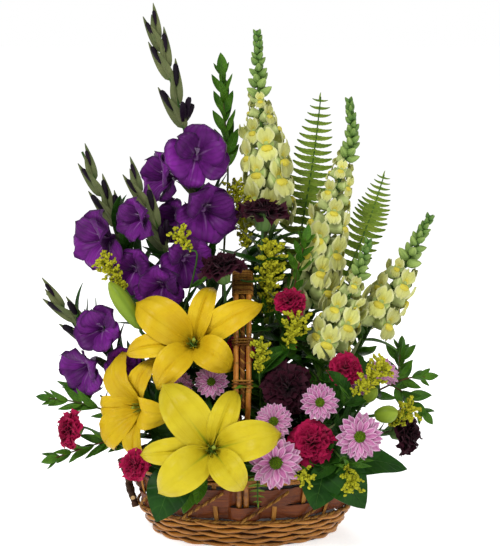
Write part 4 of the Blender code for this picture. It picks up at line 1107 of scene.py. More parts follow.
@dataclass
class Splints:
    """Two broad chip-wood bands, woven in and out of the uprights on opposite sides."""

    lower: tuple[float, float] = (0.0425, 0.0612)
    upper: tuple[float, float] = (0.0623, 0.0847)
    thick: float = 0.0012
    wave: float = 0.0032
    wave_at_handle: float = 0.0058
    crest_power: float = 0.35
    steps: int = 320

    def offset(self, share: float, side: float) -> float:
        """Return how far a band stands out of the wall's middle.

        Args:
            share: share of the way round.
            side: 1 or -1, the side on which it passes the first upright.

        Returns:
            The distance, less than 0 on the inside.
        """
        place = Wall.posts * share
        half = Wall.posts // 2
        near = min(place % half, half - place % half)
        crest = math.cos(math.pi * place)
        if near >= 1:
            return side * self.wave * crest
        height = self.wave + (self.wave_at_handle - self.wave) * (1 - near)
        return side * height * math.copysign(abs(crest) ** self.crest_power, crest)

    def band(self, span: tuple[float, float], side: float) -> Form:
        """Model a band: a sheet wrapped round the wall, its ends merged, then thickened and its edges eased.

        Args:
            span: its lower and upper edge.
            side: 1 or -1, the side on which it passes the first upright.

        Returns:
            The band.
        """
        rows = 5
        angles = np.array(Wall.angles(i / self.steps for i in range(self.steps)))
        offsets = np.array([self.offset(i / self.steps, side) for i in range(self.steps)])
        thing = Bench.sheet(self.steps, rows)

        def wrapped(x: Array, y: Array, z: Array) -> tuple:
            """Return where the sheet's corners go when it is wrapped round the wall."""
            column = np.rint((x + 1) * 0.5 * self.steps).astype(int) % self.steps
            share = column / self.steps
            ends = 0.0004 * np.sin(2 * np.pi * 23 * share) + 0.0003 * np.sin(2 * np.pi * 61 * share + 1)
            height = span[0] + (span[1] - span[0]) * 0.5 * (y + 1) + ends * y
            lean = np.array([Wall.flare(level) for level in height]) + offsets[column] + 0.0004 * y * y
            return ((Wall.half_length + lean) * np.cos(angles[column]),
                    (Wall.half_width + lean) * np.sin(angles[column]), height)

        Bench.shaped(thing, wrapped)
        Bench.merged(thing, 1e-6)
        Bench.modified(thing, "SOLIDIFY", thickness=self.thick, offset=0.0)
        form = Bench.taken(thing)
        form.chart[:] = np.stack([form.chart[:, 1], form.chart[:, 0] * 0.75], axis=1)
        return form

    def build(self) -> None:
        """Model both bands."""
        for node, span, side in (("splint_lower", self.lower, 1.0), ("splint_upper", self.upper, -1.0)):
            piece = Piece(node, "chip_wood")
            piece.add(self.band(span, side), Weave.chip, tone=0.45)
            piece.made(60)


@dataclass
class Ropes:
    """Straw ropes that climb over the bands to the right, and the rope laid round above the foot."""

    offset: float = 0.0077
    foot: float = 0.0406
    head: float = 0.0828
    clear: float = 0.0088
    coil: float = 0.00115
    thick: float = 0.00112
    pitch: float = 0.013

    def build(self) -> None:
        """Model the laid rope and the climbing ones."""
        piece = Piece("straw_braid", "straw")
        hoop = Wall.path(330, lambda s: self.offset, lambda s: self.foot)
        for number, form in enumerate(twisted(hoop, 3, self.coil, self.thick, self.pitch, True)):
            piece.add(form, Weave.brown_cord if number == 1 else Weave.straw)
        for number in range(0, Wall.posts, 2):
            first, last = (number - 0.15) / Wall.posts, (number + 1.35) / Wall.posts
            rise = self.head - self.foot

            def done(share: float, first: float = first, last: float = last) -> float:
                """Return how much of its climb a rope has done at a share of the way round."""
                return (share - first) / (last - first)

            line = Wall.path(34, lambda s: self.clear + 0.0006 * math.sin(math.pi * done(s)),
                             lambda s: self.foot + rise * done(s), first, last)
            for strand, form in enumerate(twisted(line, 3, self.coil, self.thick, self.pitch)):
                piece.add(form, Weave.brown_cord if strand == number % 3 else Weave.straw)
        piece.made(60)


@dataclass
class Rim:
    """The loose roll of willow strands round the top, which parts round the handle's canes."""

    height: float = 0.0960
    strands: int = 26
    roll: float = 0.0056
    steps: int = 150
    thinnest: float = 0.0011
    thickest: float = 0.0019
    handle: float = -0.003
    handle_room: float = 0.0038
    handle_reach: float = 0.022

    def build(self) -> None:
        """Model each strand as it winds along the roll."""
        piece = Piece("rim_bundle", "willow")
        for strand in range(self.strands):
            inner = strand % 3 == 0
            reach = self.roll * (0.45 if inner else 1.0) * piece.chance.uniform(0.82, 1.08)
            start, turns = piece.chance.uniform(0, 2 * math.pi), int(piece.chance.integers(3, 7))
            ripple = piece.chance.uniform(0, 6.28)
            thick = piece.chance.uniform(self.thinnest, self.thickest)
            line = []
            shares = [i / self.steps for i in range(self.steps)]
            for share, angle in zip(shares, Wall.angles(shares)):
                turn = start + 2 * math.pi * turns * share + 0.5 * math.sin(6 * math.pi * share + ripple)
                out, rise = reach * math.cos(turn), reach * math.sin(turn)
                spot = Wall.point(angle, out, self.height + rise)
                near = max(0.0, 1 - abs(spot.x - self.handle) / self.handle_reach)
                room = (self.handle_room + thick) * min(1.0, near * 2.2)
                pushed = math.copysign(max(abs(out), room), out)
                line.append(Wall.point(angle, pushed, self.height + rise))
            # The inner strands, deep in the roll, take the dark willow: painted shade inside the roll.
            finish = Weave.shadow if inner else Weave.stake if strand % 3 == 1 else Weave.willow
            piece.add(rod(line, thick, 6, True), finish)
        piece.made(60)


class End(Enum):
    """The two ends of the basket, as the sign of X there."""

    LEFT = -1
    RIGHT = 1


@dataclass
class EndTies:
    """Bark rods tied across each short end; each rod's route runs from the wall's end outward."""

    seats: tuple = (("end_tie_left", End.LEFT, 0.0134), ("end_tie_right", End.RIGHT, 0.0140))
    upright: tuple = run((-10, -20, 36), (-5, -14, 52), (0, -8, 70), (11, 4, 94))
    across: tuple = run((-8, -46, 56), (-1, -20, 62), (1, 12, 64), (-4, 36, 60))

    def build(self) -> None:
        """Model the rods with their knots and cut ends."""
        for node, end, seat in self.seats:
            piece = Piece(node, "bark")
            out = Wall.half_length + Wall.flare(0.06) + seat
            for points, radius in ((self.upright, 0.0044), (self.across, 0.0037)):
                line = smooth_path([(end.value * (out + x), y, z) for x, y, z in points], 12)
                rough = [radius * (1 + 0.10 * math.sin(i * 0.9) + 0.06 * math.sin(i * 2.3 + 1))
                         for i in range(len(line))]
                piece.add(rod(line, rough, 12), Weave.bark)
                for tip, before in ((line[0], line[1]), (line[-1], line[-2])):
                    face = (tip - before).normalized()
                    piece.add(rod([tip - face * 0.001, tip + face * 0.0005], radius * 0.80, 12), Weave.heart)
            piece.made()


@dataclass
class Handle:
    """Two golden canes side by side with a braid between them, bound by turns of flat cord."""

    x: float = -0.003
    top: float = 0.342
    foot: float = 0.040
    shoulder: float = 0.70
    crown: float = 0.92
    cane: float = 0.0036
    spread: float = 0.0080
    spread_at_foot: float = 0.0044
    binding_low: float = 0.190
    binding_thick: float = 0.0012
    rings: int = 9
    cane_steps: int = 260
    braid_steps: int = 300
    turn_steps: int = 28
    knot_every: int = 26
    knot_shift: int = 9

    def arch(self, side: float, steps: int = 60) -> list[Vector]:
        """Return the line of a cane, or of the middle for side 0, from front to back.

        Args:
            side: -1 or 1 for a cane, 0 for the middle.
            steps: steps along the arch over the rim.

        Returns:
            The line's points.
        """
        half = Wall.half_width + Wall.flare(Wall.top)
        rises = [self.foot + (Wall.top - self.foot) * k / 8 for k in range(8)]
        front = [Vector((0, -Wall.half_width - Wall.flare(rise), rise)) for rise in rises]
        path = list(front)
        for k in range(steps + 1):
            angle = math.pi * k / steps
            reach = -half * math.copysign(abs(math.cos(angle)) ** self.shoulder, math.cos(angle))
            rise = (self.top - Wall.top) * abs(math.sin(angle)) ** self.crown
            path.append(Vector((0, reach, Wall.top + rise)))
        path += [Vector((0, -point.y, point.z)) for point in reversed(front)]
        for point in path:
            share = min(1.0, max(0.0, (point.z - Wall.top) / (0.5 * (self.top - Wall.top))))
            point.x = self.x + side * (self.spread_at_foot + share * (self.spread - self.spread_at_foot))
        return path

    def build(self) -> None:
        """Model the canes with their nodes, then the braid and the bindings."""
        for node, side in (("handle_cane_left", -1), ("handle_cane_right", 1)):
            piece = Piece(node, "cane")
            line = self.arch(side)
            runs = lengths(line)
            fine = resampled(line, runs, np.linspace(0, runs[-1], self.cane_steps))
            half = self.knot_every // 2
            past = [(i + self.knot_shift * side) % self.knot_every - half for i in range(self.cane_steps)]
            radii = [self.cane * (0.96 + 0.10 * math.exp(-(step / 1.1) ** 2)) for step in past]
            piece.add(rod(fine, radii, 12), Weave.cane, tone=0.5)
            for i in range(24, 240, half):
                if fine[i].z > 0.15:
                    ahead = (fine[i + 1] - fine[i]).normalized() * self.binding_thick
                    piece.add(rod([fine[i] - ahead, fine[i] + ahead], self.cane * 1.07, 12), Weave.straw)
            piece.made()
        piece = Piece("handle_binding", "straw")
        middle = [point for point in self.arch(0, 120) if point.z > self.binding_low]
        count = len(middle)
        fine = resampled(middle, np.linspace(0, 1, count), np.linspace(0, 1, self.braid_steps))
        for number, form in enumerate(twisted(fine, 3, 0.0017, 0.0017, 0.012)):
            piece.add(form, (Weave.brown_cord, Weave.straw, Weave.brown_cord)[number])
        edge = [point for point in self.arch(1, 120) if point.z > self.binding_low]
        for ring in range(self.rings):
            centre = (ring + 0.5) * (count - 1) / self.rings
            crowded = abs(ring - self.rings // 2) <= 1
            for turn in range(-5 if crowded else -1, 6 if crowded else 2):
                spot = min(max(centre + turn * (0.85 if crowded else 0.75), 1), count - 2)
                i = int(spot)
                place = middle[i].lerp(middle[i + 1], spot - i)
                ahead = (middle[i + 1] - middle[i]).normalized()
                out = Vector((1, 0, 0)).cross(ahead)
                spread = (edge[i] - middle[i]).x
                reach = self.cane + self.binding_thick
                loop = []
                for k in range(self.turn_steps):
                    angle = 2 * math.pi * (k + 0.5) / self.turn_steps
                    shift = math.copysign(spread, math.cos(angle)) + reach * math.cos(angle)
                    loop.append(place + Vector((shift, 0, 0)) + out * reach * math.sin(angle)
                                + ahead * 0.0008 * math.sin(angle + ring))
                piece.add(rod(loop, 0.0011, 6, True), Weave.straw if (turn + ring) % 3 else Weave.brown_cord)
        piece.made()


@dataclass
class Vessel:
    """The basket's board, its liner and the foam: the frame's own shapes with finer finishes."""

    board: Finish = Finish("board_wood", tint(150, 96, 48), tint(112, 66, 32), 0.6)
    sheet: Finish = Finish("liner_sheet", tint(176, 178, 182), tint(140, 142, 148), 0.32)
    foam: Finish = Finish("wet_foam", tint(34, 74, 44), tint(20, 48, 28), 0.9)

    def build(self) -> None:
        """Give each of the three its finish."""
        finishes = {"basket_base": self.board, "liner_bowl": self.sheet, "floral_foam": self.foam}
        for node, finish in finishes.items():
            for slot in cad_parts[node].material_slots:
                slot.material = finish.material()
            log.info("%s: %s", node, finish.name)


# --- Stems and leaves ---


def route(back: Vector, look: Vector, end: Sequence, bow: float) -> list[Vector]:
    """Return a stem's points: out of the back of a flower, then down to its end in the foam.

    Args:
        back: where the flower ends.
        look: the way the flower looks.
        end: the stem's cut end.
        bow: how far the elbow stands behind the flower, as a share of the way.

    Returns:
        The points, from the flower down.
    """
    end = Vector(end)
    elbow = back - look.normalized() * (back - end).length * bow
    return [(1 - t) ** 2 * back + 2 * t * (1 - t) * elbow + t * t * end for t in (0.0, 0.3, 0.62, 1.0)]


def leaf_form(width: float, fold: float, arch: float, columns: int = 4, rows: int = 8, wave: float = 0.0,
              teeth: float = 0.0, widest: float = 0.42, thick: float = 0.012) -> Form:
    """Model a leaf of length 1, folded along its midrib and arched along its length.

    Args:
        width: half its width.
        fold: how high its edges stand over the midrib.
        arch: how far its tip droops.
        columns: faces across.
        rows: faces along.
        wave: how much its edges wave.
        teeth: how deep its edges are cut.
        widest: share of its length where it is widest.
        thick: its thickness.

    Returns:
        The leaf, ready to lie between a root and a tip.
    """

    def shape(x: Array, t: Array) -> tuple:
        """Return where the corners at X and T go."""
        bent = t ** (math.log(0.5) / math.log(widest))
        cut = 1 - teeth * (np.rint(t * rows) % 2)
        half = width * np.sin(np.pi * bent) ** 0.85 * cut + 0.018 * (1 - t) + 0.004
        edge = np.abs(x)
        rise = fold * edge ** 1.2 * half / width - arch * (2 * t - 1) ** 2 + arch
        return x * half, t, rise + wave * edge * np.sin(9 * t + 2.2 * np.sign(x)) * np.sin(np.pi * t)

    return Bench.leaf(columns, rows, thick, shape)


@dataclass(frozen=True)
class Bloom:
    """One open flower: where its middle is, the way it looks, and its radius."""

    place: Triple
    look: Triple
    radius: float

    def way(self) -> Vector:
        """Return the way it looks, as a vector of length 1."""
        return Vector(self.look).normalized()


class Greens:
    """The shapes of stems and small leaves that many plants share, modelled once."""

    seen = Vector((0, -0.985, 0.17))
    kept_free = 0.92
    kept_ahead = 0.2

    def __init__(self) -> None:
        """Model the shared leaves."""
        self.oval = [leaf_form(0.24, 0.07, 0.05), leaf_form(0.21, 0.05, -0.03),
                     leaf_form(0.25, 0.09, 0.08, wave=0.02)]
        self.lance = [leaf_form(0.11, 0.05, 0.08, 4, 9), leaf_form(0.12, 0.04, -0.06, 4, 9, wave=0.015)]
        self.sword = [leaf_form(0.045, 0.02, 0.04, 2, 8), leaf_form(0.05, 0.02, 0.07, 2, 8)]
        self.cut = [leaf_form(0.24, 0.06, 0.06, 4, 11, wave=0.03, teeth=0.34),
                    leaf_form(0.22, 0.04, -0.04, 4, 11, wave=0.03, teeth=0.38)]
        self.blooms: list[Bloom] = []

    def covers(self, spots: Line) -> bool:
        """Tell whether one of some spots lies in front of an open flower.

        Args:
            spots: the spots.

        Returns:
            Whether a leaf there would hide the flower.
        """
        for bloom in self.blooms:
            look, reach = bloom.way(), self.kept_free * bloom.radius
            for way in (look, self.seen) if look.y < 0.1 else (look,):
                for spot in spots:
                    away = spot - Vector(bloom.place)
                    ahead = away.dot(way)
                    in_front = -0.25 * reach < ahead < self.kept_ahead
                    if in_front and (away - way * ahead).length < reach:
                        return True
        return False

    def stem(self, piece: Piece, path: Sequence, radii: tuple[float, float], finish: Finish = Plant.stem,
             steps: int = 6) -> list[Vector]:
        """Add a round stem that thickens from the flower to its foot.

        Args:
            piece: where it goes.
            path: its points from the top down.
            radii: its radius at the top and at the foot.
            finish: its finish.
            steps: steps between two points.

        Returns:
            The smooth line of the stem, from the top down.
        """
        line = smooth_path(path, steps)
        piece.add(rod(line, np.linspace(*radii, len(line)), 8), finish)
        return line

    def side_stem(self, piece: Piece, root: Vector, look: Vector, line: Line, share: float,
                  radius: float, finish: Finish = Plant.stem, steps: int = 6, sides: int = 7) -> list[Vector]:
        """Add a side stem that leaves a flower's back and joins the main stem.

        Args:
            piece: where it goes.
            root: where the flower ends.
            look: the way the flower looks.
            line: the main stem's line, from the top down.
            share: how far down it they join.
            radius: the side stem's radius.
            finish: its finish.
            steps: steps between two points.
            sides: corners round it.

        Returns:
            The side stem's line.
        """
        fork = line[round(share * (len(line) - 1))]
        twig = smooth_path([root, root - look * 0.12 * (root - fork).length, fork], steps)
        piece.add(rod(twig, radius, sides), finish)
        return twig

    def leafy(self, piece: Piece, line: Line, forms: Forms, finish: Finish, high: float,
              low: float, count: int, length: float, lean: float = 0.75, spread: float = 0.35) -> None:
        """Add leaves round a stem between two heights.

        Args:
            piece: where they go.
            line: the stem's line.
            forms: the leaf shapes to choose from.
            finish: their finish.
            high: the upper height.
            low: the lower height.
            count: how many.
            length: their length.
            lean: how far they stand out from the stem, from 0 to 1.
            spread: how much their lengths differ.
        """
        part = [i for i in range(len(line) - 1) if low <= line[i].z <= high]
        if not part:
            return
        chance = piece.chance
        for number in range(count):
            root, along = stand(line, part[0] + (number + chance.uniform(0.1, 0.9)) / count * (len(part) - 1))
            turn = number * GOLDEN_ANGLE + chance.uniform(-0.4, 0.4)
            side = (Matrix.Rotation(turn, 3, along) @ along.orthogonal()).normalized()
            if side.z < -0.3:
                side.negate()
            way = along * (1 - lean) + side * lean + UP * chance.uniform(-0.15, 0.15)
            tip = root + way.normalized() * length * (1 + chance.uniform(-spread, spread))
            face = (along - side * 0.4).normalized()
            if not self.covers((root.lerp(tip, 0.5), tip)):
                piece.add(forms[number % len(forms)], finish, lying(root, tip, face))


# --- Flowers ---


@dataclass
class Lilies:
    """The open lilies, with each petal's angle, reach, width and curl, and the closed buds beside them."""

    greens: Greens
    depth: float = 0.36
    flowers: tuple = (
        ("lily_upper", Bloom(at(-66, -94, 274), (-0.05, -1, 0.38), 0.083), at(-20, -24, 83),
         ((145, 1.00, 1.22, 0.45), (73, 0.92, 0.66, 1.3), (31, 1.12, 0.86, 0.5), (-32, 0.68, 1.0, 1.0),
          (-128, 0.82, 0.92, 0.6), (188, 1.00, 0.70, 1.1))),
        ("lily_left", Bloom(at(-142, -74, 183), (-0.62, -0.8, 0.05), 0.072), at(-50, -30, 83),
         ((114, 0.96, 1.15, 0.5), (66, 1.04, 0.76, 1.0), (0, 0.74, 1.1, 0.5), (-76, 0.98, 0.76, 0.7),
          (-128, 0.98, 1.1, 0.5), (186, 0.82, 0.86, 1.0))),
        ("lily_lower", Bloom(at(-40, -168, 156), (0, -1, 0.32), 0.085), at(-12, -38, 83),
         ((127, 1.10, 1.22, 0.4), (69, 0.90, 0.74, 1.2), (13, 0.96, 1.10, 0.6), (-52, 0.70, 0.92, 0.8),
          (-141, 0.92, 1.15, 0.4), (184, 1.00, 0.74, 1.0))),
    )

    def blooms(self) -> list[Bloom]:
        """Return the open flowers."""
        return [flower[1] for flower in self.flowers]

    def petal(self, reach: float, wide: float, curl: float, seed: float) -> Form:
        """Model a petal that rises out of the throat, opens and rolls back at its tip.

        Args:
            reach: how far its tip stands from the flower's axis.
            wide: its width against a broad petal's.
            curl: how far its tip rolls back.
            seed: shifts its waves.

        Returns:
            The petal, its length along +Y from the flower's axis and the axis along +Z.
        """
        steps = np.linspace(0, 1, 8)
        out = np.array((0.05, 0.15, 0.31, 0.49, 0.67, 0.84, 0.99, 1.10)) * reach
        out[-2:] -= curl * np.array((0.02, 0.05))
        rise = np.array((0.0, 0.22, 0.42, 0.56, 0.61, 0.58, 0.48, 0.34))
        rise = rise - curl * np.array((0, 0, 0, 0.01, 0.03, 0.08, 0.16, 0.28))

        def shape(x: Array, t: Array) -> tuple:
            """Return where the corners at X and T go."""
            half = 0.244 * wide * np.sin(np.pi * np.clip(t, 0, 1) ** 0.90) + 0.035 * (1 - t) + 0.003
            edge = np.abs(x)
            groove = 0.056 * np.exp(-((x / 0.18) ** 2)) * np.sin(np.pi * t**0.8)
            cupped = 0.36 * edge**2 * wide * (0.48 - t)
            ruffle = 0.022 * edge**2 * np.sin(13 * t + seed + 1.5 * np.sign(x)) * np.sin(np.pi * t)
            smooth = t * t * (3 - 2 * t) * 0.25 + t * 0.75
            return (x * half, np.interp(smooth, steps, out),
                    np.interp(smooth, steps, rise) - groove + cupped + ruffle)

        return Bench.leaf(10, 16, 0.014, shape)

    def heart(self, piece: Piece, matrix: Matrix) -> None:
        """Add the pistil and the six bare filaments deep in a flower's throat.

        Args:
            piece: where it goes.
            matrix: the flower's place, turn and size.
        """
        line = smooth_path(((0, 0, 0.02), (0.01, 0.01, 0.16), (0.02, 0.01, 0.30), (0.03, 0.03, 0.42)), 4)
        pistil = rod(line, [0.045, 0.040, *[0.018] * 8, 0.030, 0.032, 0.024], 8)
        piece.add(pistil, Plant.pistil, matrix, 0.2)
        line = smooth_path(((0.03, 0, 0.02), (0.06, 0, 0.20), (0.09, 0, 0.34)), 4)
        arm = rod(line, [0.012] * 8 + [0.004], 6)
        for k in range(6):
            piece.add(arm, Plant.pistil, matrix @ spin(math.pi * k / 3 + 0.2), 0.1)

    def bud(self, piece: Piece, tip: Sequence, root: Sequence, radius: float) -> None:
        """Add a long closed bud with three broad ridges.

        Args:
            piece: where it goes.
            tip: its tip.
            root: where its stem ends.
            radius: half its width.
        """
        root = Vector(root)
        axis = Vector(tip) - root
        profile = [(0.12, 0), (0.55, 0.08), (0.84, 0.25), (1.0, 0.45), (1.0, 0.62), (0.84, 0.78),
                   (0.52, 0.91), (0.22, 0.98), (0.04, 1.0)]
        form = Bench.turned(18, [(radius * r, axis.length * h) for r, h in profile], 3, 0.09)
        piece.add(form, Plant.lily_bud, facing(root, axis, 0.4), 0.5)

    def side_bud(self, piece: Piece, line: Line) -> None:
        """Add the long bud that leans out to the left on a side stem.

        Args:
            piece: where it goes.
            line: the main stem's line.
        """
        tip, root = Vector(at(-172, -58, 344)), Vector(at(-131, -64, 284))
        self.bud(piece, tip, root, 0.0112)
        fork = line[round(0.45 * (len(line) - 1))]
        aim = (tip - root).normalized()
        piece.add(rod(smooth_path([root + aim * 0.003, root - aim * 0.012, fork], 5), 0.0022, 8), Plant.stem)
        self.greens.leafy(piece, [root, fork], self.greens.lance, Plant.myrtle, 0.3, 0.2, 3, 0.04)

    def right_buds(self) -> None:
        """Model the stem on the right whose two buds are closed."""
        piece = Piece("lily_buds_right", "lily_bud")
        first, second, fork = at(164, -90, 178), at(152, -80, 194), at(138, -74, 168)
        line = self.greens.stem(piece, [first, fork, at(100, -50, 136), at(56, -24, 80)], (0.0020, 0.0026))
        piece.add(rod(smooth_path([second, at(146, -77, 184), fork], 4), 0.0017, 7), Plant.stem)
        self.bud(piece, at(192, -104, 186), first, 0.0112)
        self.bud(piece, at(166, -94, 214), second, 0.0078)
        self.greens.leafy(piece, line, self.greens.lance, Plant.dusk, 0.17, 0.12, 5, 0.048)
        piece.made()

    def build(self) -> None:
        """Model the open flowers and the stem whose buds are closed."""
        for node, bloom, end, petals in self.flowers:
            piece = Piece(node, "lily")
            look, size = bloom.way(), bloom.radius
            bottom = Vector(bloom.place) - look * self.depth * size
            base = facing(bottom, look)
            finish = Plant.lily_pale if node == "lily_lower" else Plant.lily
            for number, (angle, reach, wide, curl) in enumerate(petals):
                form = self.petal(reach, wide, curl, 1.7 * number + size * 100)
                lift = move(0, 0, 0.02 if wide > 0.9 else -0.02)
                turned = base @ spin(math.radians(angle - 90)) @ stretch(size) @ lift
                piece.add(form, finish, turned, 0.35 + 0.5 * (number % 3) / 2)
            self.heart(piece, base @ stretch(size))
            tube = [bottom + look * 0.10 * size, bottom, bottom - look * 0.10 * size]
            piece.add(rod(tube, [0.085 * size, 0.07 * size, 0.045 * size], 12), Plant.lily_bud, tone=0.1)
            line = self.greens.stem(piece, route(bottom, look, end, 0.28), (0.0032, 0.0040))
            high = bottom.z - 0.004
            self.greens.leafy(piece, line, self.greens.lance, Plant.dusk, high, 0.115, 20, 0.066, 0.7)
            if node == "lily_upper":
                self.side_bud(piece, line)
            piece.made(70)
        self.right_buds()


@dataclass(frozen=True)
class Spike:
    """A gladiolus: its node, path from tip to foot, open florets, and how many buds stand above them."""

    node: str
    path: tuple
    florets: tuple
    buds: int


@dataclass
class Gladioli:
    """Tall spikes: sheathed buds in two rows near the tip, ruffled florets lower down."""

    greens: Greens
    depth: float = 0.55
    swell: float = 1.15
    spikes: tuple = (
        Spike("gladiolus_tall", run((-122, 60, 664), (-106, 60, 622), (-81, 55, 533), (-64, 50, 461),
                                    (-53, 42, 382), (-44, 30, 250), (-36, 20, 85)),
              (Bloom(at(-63, 14, 499), (0.05, -1, 0.25), 0.036),
               Bloom(at(-108, 34, 468), (-0.8, -0.6, 0.2), 0.03),
               Bloom(at(-48, 4, 428), (0.35, -1, 0), 0.034),
               Bloom(at(-90, 30, 412), (-0.5, -1, -0.1), 0.026)), 10),
        Spike("gladiolus_left", run((-212, 30, 500), (-184, 26, 437), (-162, 22, 392), (-146, 20, 345),
                                    (-112, 14, 255), (-62, 18, 85)),
              (Bloom(at(-189, -2, 390), (-0.6, -0.8, 0.1), 0.033),
               Bloom(at(-145, -12, 352), (-0.2, -1, 0.1), 0.026)), 8),
        Spike("gladiolus_inner", run((-146, -10, 470), (-126, -10, 436), (-104, -10, 380), (-88, -8, 324),
                                     (-66, -2, 240), (-36, 0, 85)),
              (Bloom(at(-138, -30, 422), (-0.6, -0.8, 0.1), 0.025),
               Bloom(at(-74, -34, 370), (0.35, -1, 0.1), 0.03),
               Bloom(at(-110, -40, 336), (-0.3, -1, 0), 0.027)), 5),
        Spike("gladiolus_low", run((-256, -20, 322), (-220, -20, 288), (-190, -16, 252), (-150, -12, 208),
                                   (-110, -8, 160), (-66, -4, 85)),
              (Bloom(at(-187, -44, 282), (-0.3, -1, 0.3), 0.027),
               Bloom(at(-209, -28, 227), (-0.6, -0.8, -0.1), 0.031),
               Bloom(at(-158, -36, 236), (0.1, -1, 0.2), 0.022)), 6),
    )

    def blooms(self) -> list[Bloom]:
        """Return the open florets."""
        return [floret for spike in self.spikes for floret in spike.florets]

    def petal(self, wide: float, seed: float) -> Form:
        """Model a ruffled petal of a floret of radius 1, its length along +Y from the axis.

        Args:
            wide: half its width.
            seed: shifts its ruffles.

        Returns:
            The petal.
        """
        steps = np.linspace(0, 1, 6)
        out = np.array((0.10, 0.24, 0.48, 0.76, 0.98, 1.08))
        rise = np.array((0.0, 0.34, 0.62, 0.80, 0.80, 0.66))

        def shape(x: Array, t: Array) -> tuple:
            """Return where the corners at X and T go."""
            half = wide * np.sin(np.pi * np.clip(t * 0.97 + 0.03, 0, 1) ** 1.22) ** 1.02 + 0.06 * (1 - t)
            edge = np.abs(x)
            waves = np.sin(8 * t + seed + 2 * x) + 0.7 * np.sin(17 * t + 2.3 * seed * np.sign(x))
            ruffle = 0.13 * edge * t * waves
            cupped = 0.10 * edge**2 * (0.6 - t)
            crease = -0.03 * np.exp(-((x / 0.2) ** 2)) * np.sin(np.pi * t)
            return x * half, np.interp(t, steps, out), np.interp(t, steps, rise) + ruffle + cupped + crease

        return Bench.leaf(8, 10, 0.018, shape)

    def head(self, piece: Piece, spike: Spike, line: Line, bud: Form, sheath: Forms) -> None:
        """Add the two rows of sheathed buds at a spike's tip, and the three bare buds below them.

        Args:
            piece: where they go.
            spike: the spike.
            line: its stem's line.
            bud: the bud's shape.
            sheath: the two sheaths' shapes.
        """
        along = (Vector(spike.path[0]) - Vector(spike.path[2])).normalized()
        pairs = max(4, round(0.62 * spike.buds))
        for number in range(pairs):
            share = number / (pairs - 1)
            side = along.cross(-FRONT) * (1 if number % 2 else -1)
            size, girth = 0.044 + 0.012 * share, 0.0026 + 0.0020 * share
            lean = (along + (0.20 + 0.10 * share) * side + 0.05 * FRONT).normalized()
            foot = line[round(3 + 9 * share)] - lean * 0.006
            outer = lying(foot - FRONT * 0.002, foot + lean * size * 1.16 - FRONT * 0.002, FRONT - 0.7 * side)
            piece.add(sheath[number % 2], Plant.sheath, outer)
            tip = foot + (lean - 0.10 * side).normalized() * size * 0.84 + FRONT * 0.0052
            inner = lying(foot + FRONT * 0.003, tip, FRONT + 0.5 * side, 1.1)
            piece.add(sheath[1 - number % 2], Plant.sheath, inner)
            turned = facing(foot + lean * size * 0.48 + FRONT * 0.0008, (lean - 0.02 * side).normalized(),
                            piece.chance.uniform(0, 6))
            scale = stretch(girth, girth, size * (0.46 + 0.12 * share))
            piece.add(bud, Plant.night_bud, turned @ scale, 0.2 + 0.6 * share)
        side, root = FRONT.cross(along), line[12]
        for turn, reach in ((-0.25, 0.034), (0.05, 0.038), (0.35, 0.030)):
            way = (along - (0.55 + turn) * side + (0.3 - turn) * FRONT).normalized()
            scale = stretch(0.0042, 0.0042, reach)
            piece.add(bud, Plant.night_bud, facing(root, way, turn) @ scale, 0.0)
            piece.add(sheath[0], Plant.sheath, lying(root, root + way * 0.020 + FRONT * 0.003, -FRONT, 1.2))

    def floret(self, piece: Piece, floret: Bloom, petals: Forms, line: Line, sheath: Forms) -> None:
        """Add an open floret with its filaments, its neck and the two sheaths that hold it.

        Args:
            piece: where it goes.
            floret: its place, look and radius.
            petals: its six petals' shapes, in order.
            line: the stem's line.
            sheath: the two sheaths' shapes.
        """
        chance, look, size = piece.chance, floret.way(), floret.radius * self.swell
        back = Vector(floret.place) - look * self.depth * size
        base = facing(back, look, chance.uniform(-0.3, 0.3))
        for k, petal in enumerate(petals):
            angle = math.pi * k / 3 + chance.uniform(-0.14, 0.14)
            tilt = spin(chance.uniform(-0.14, 0.14) + 0.24 * math.cos(angle) + 0.12 * (k % 2), "X")
            wide = size * chance.uniform(0.95, 1.15)
            scale = stretch(wide, size * chance.uniform(0.9, 1.04), size)
            piece.add(petal, Plant.gladiolus, base @ spin(angle) @ tilt @ scale)
        for k in range(3):
            bend = [(0, 0, 0.02), (0.03 * k, 0.10, 0.34), (0.06 * (k - 1), 0.16, 0.62)]
            piece.add(rod(smooth_path(bend, 3), 0.016, 5), Plant.filament, base @ stretch(size))
        root = min(line, key=lambda spot: (spot - back).length + 2 * max(0.0, spot.z - back.z + 0.02))
        neck = smooth_path([back + look * 0.10 * size, back - look * 0.3 * size, root], 4)
        piece.add(rod(neck, np.linspace(0.17 * size, 0.0022, len(neck)), 9), Plant.gladiolus, tone=0.6)
        tip = back - look * 0.10 * size + UP * 0.006
        piece.add(sheath[0], Plant.sheath, lying(root, tip, FRONT + UP * 0.3, 0.9))
        piece.add(sheath[1], Plant.sheath, lying(root, tip - UP * 0.006, -FRONT + UP * 0.2, 0.9))

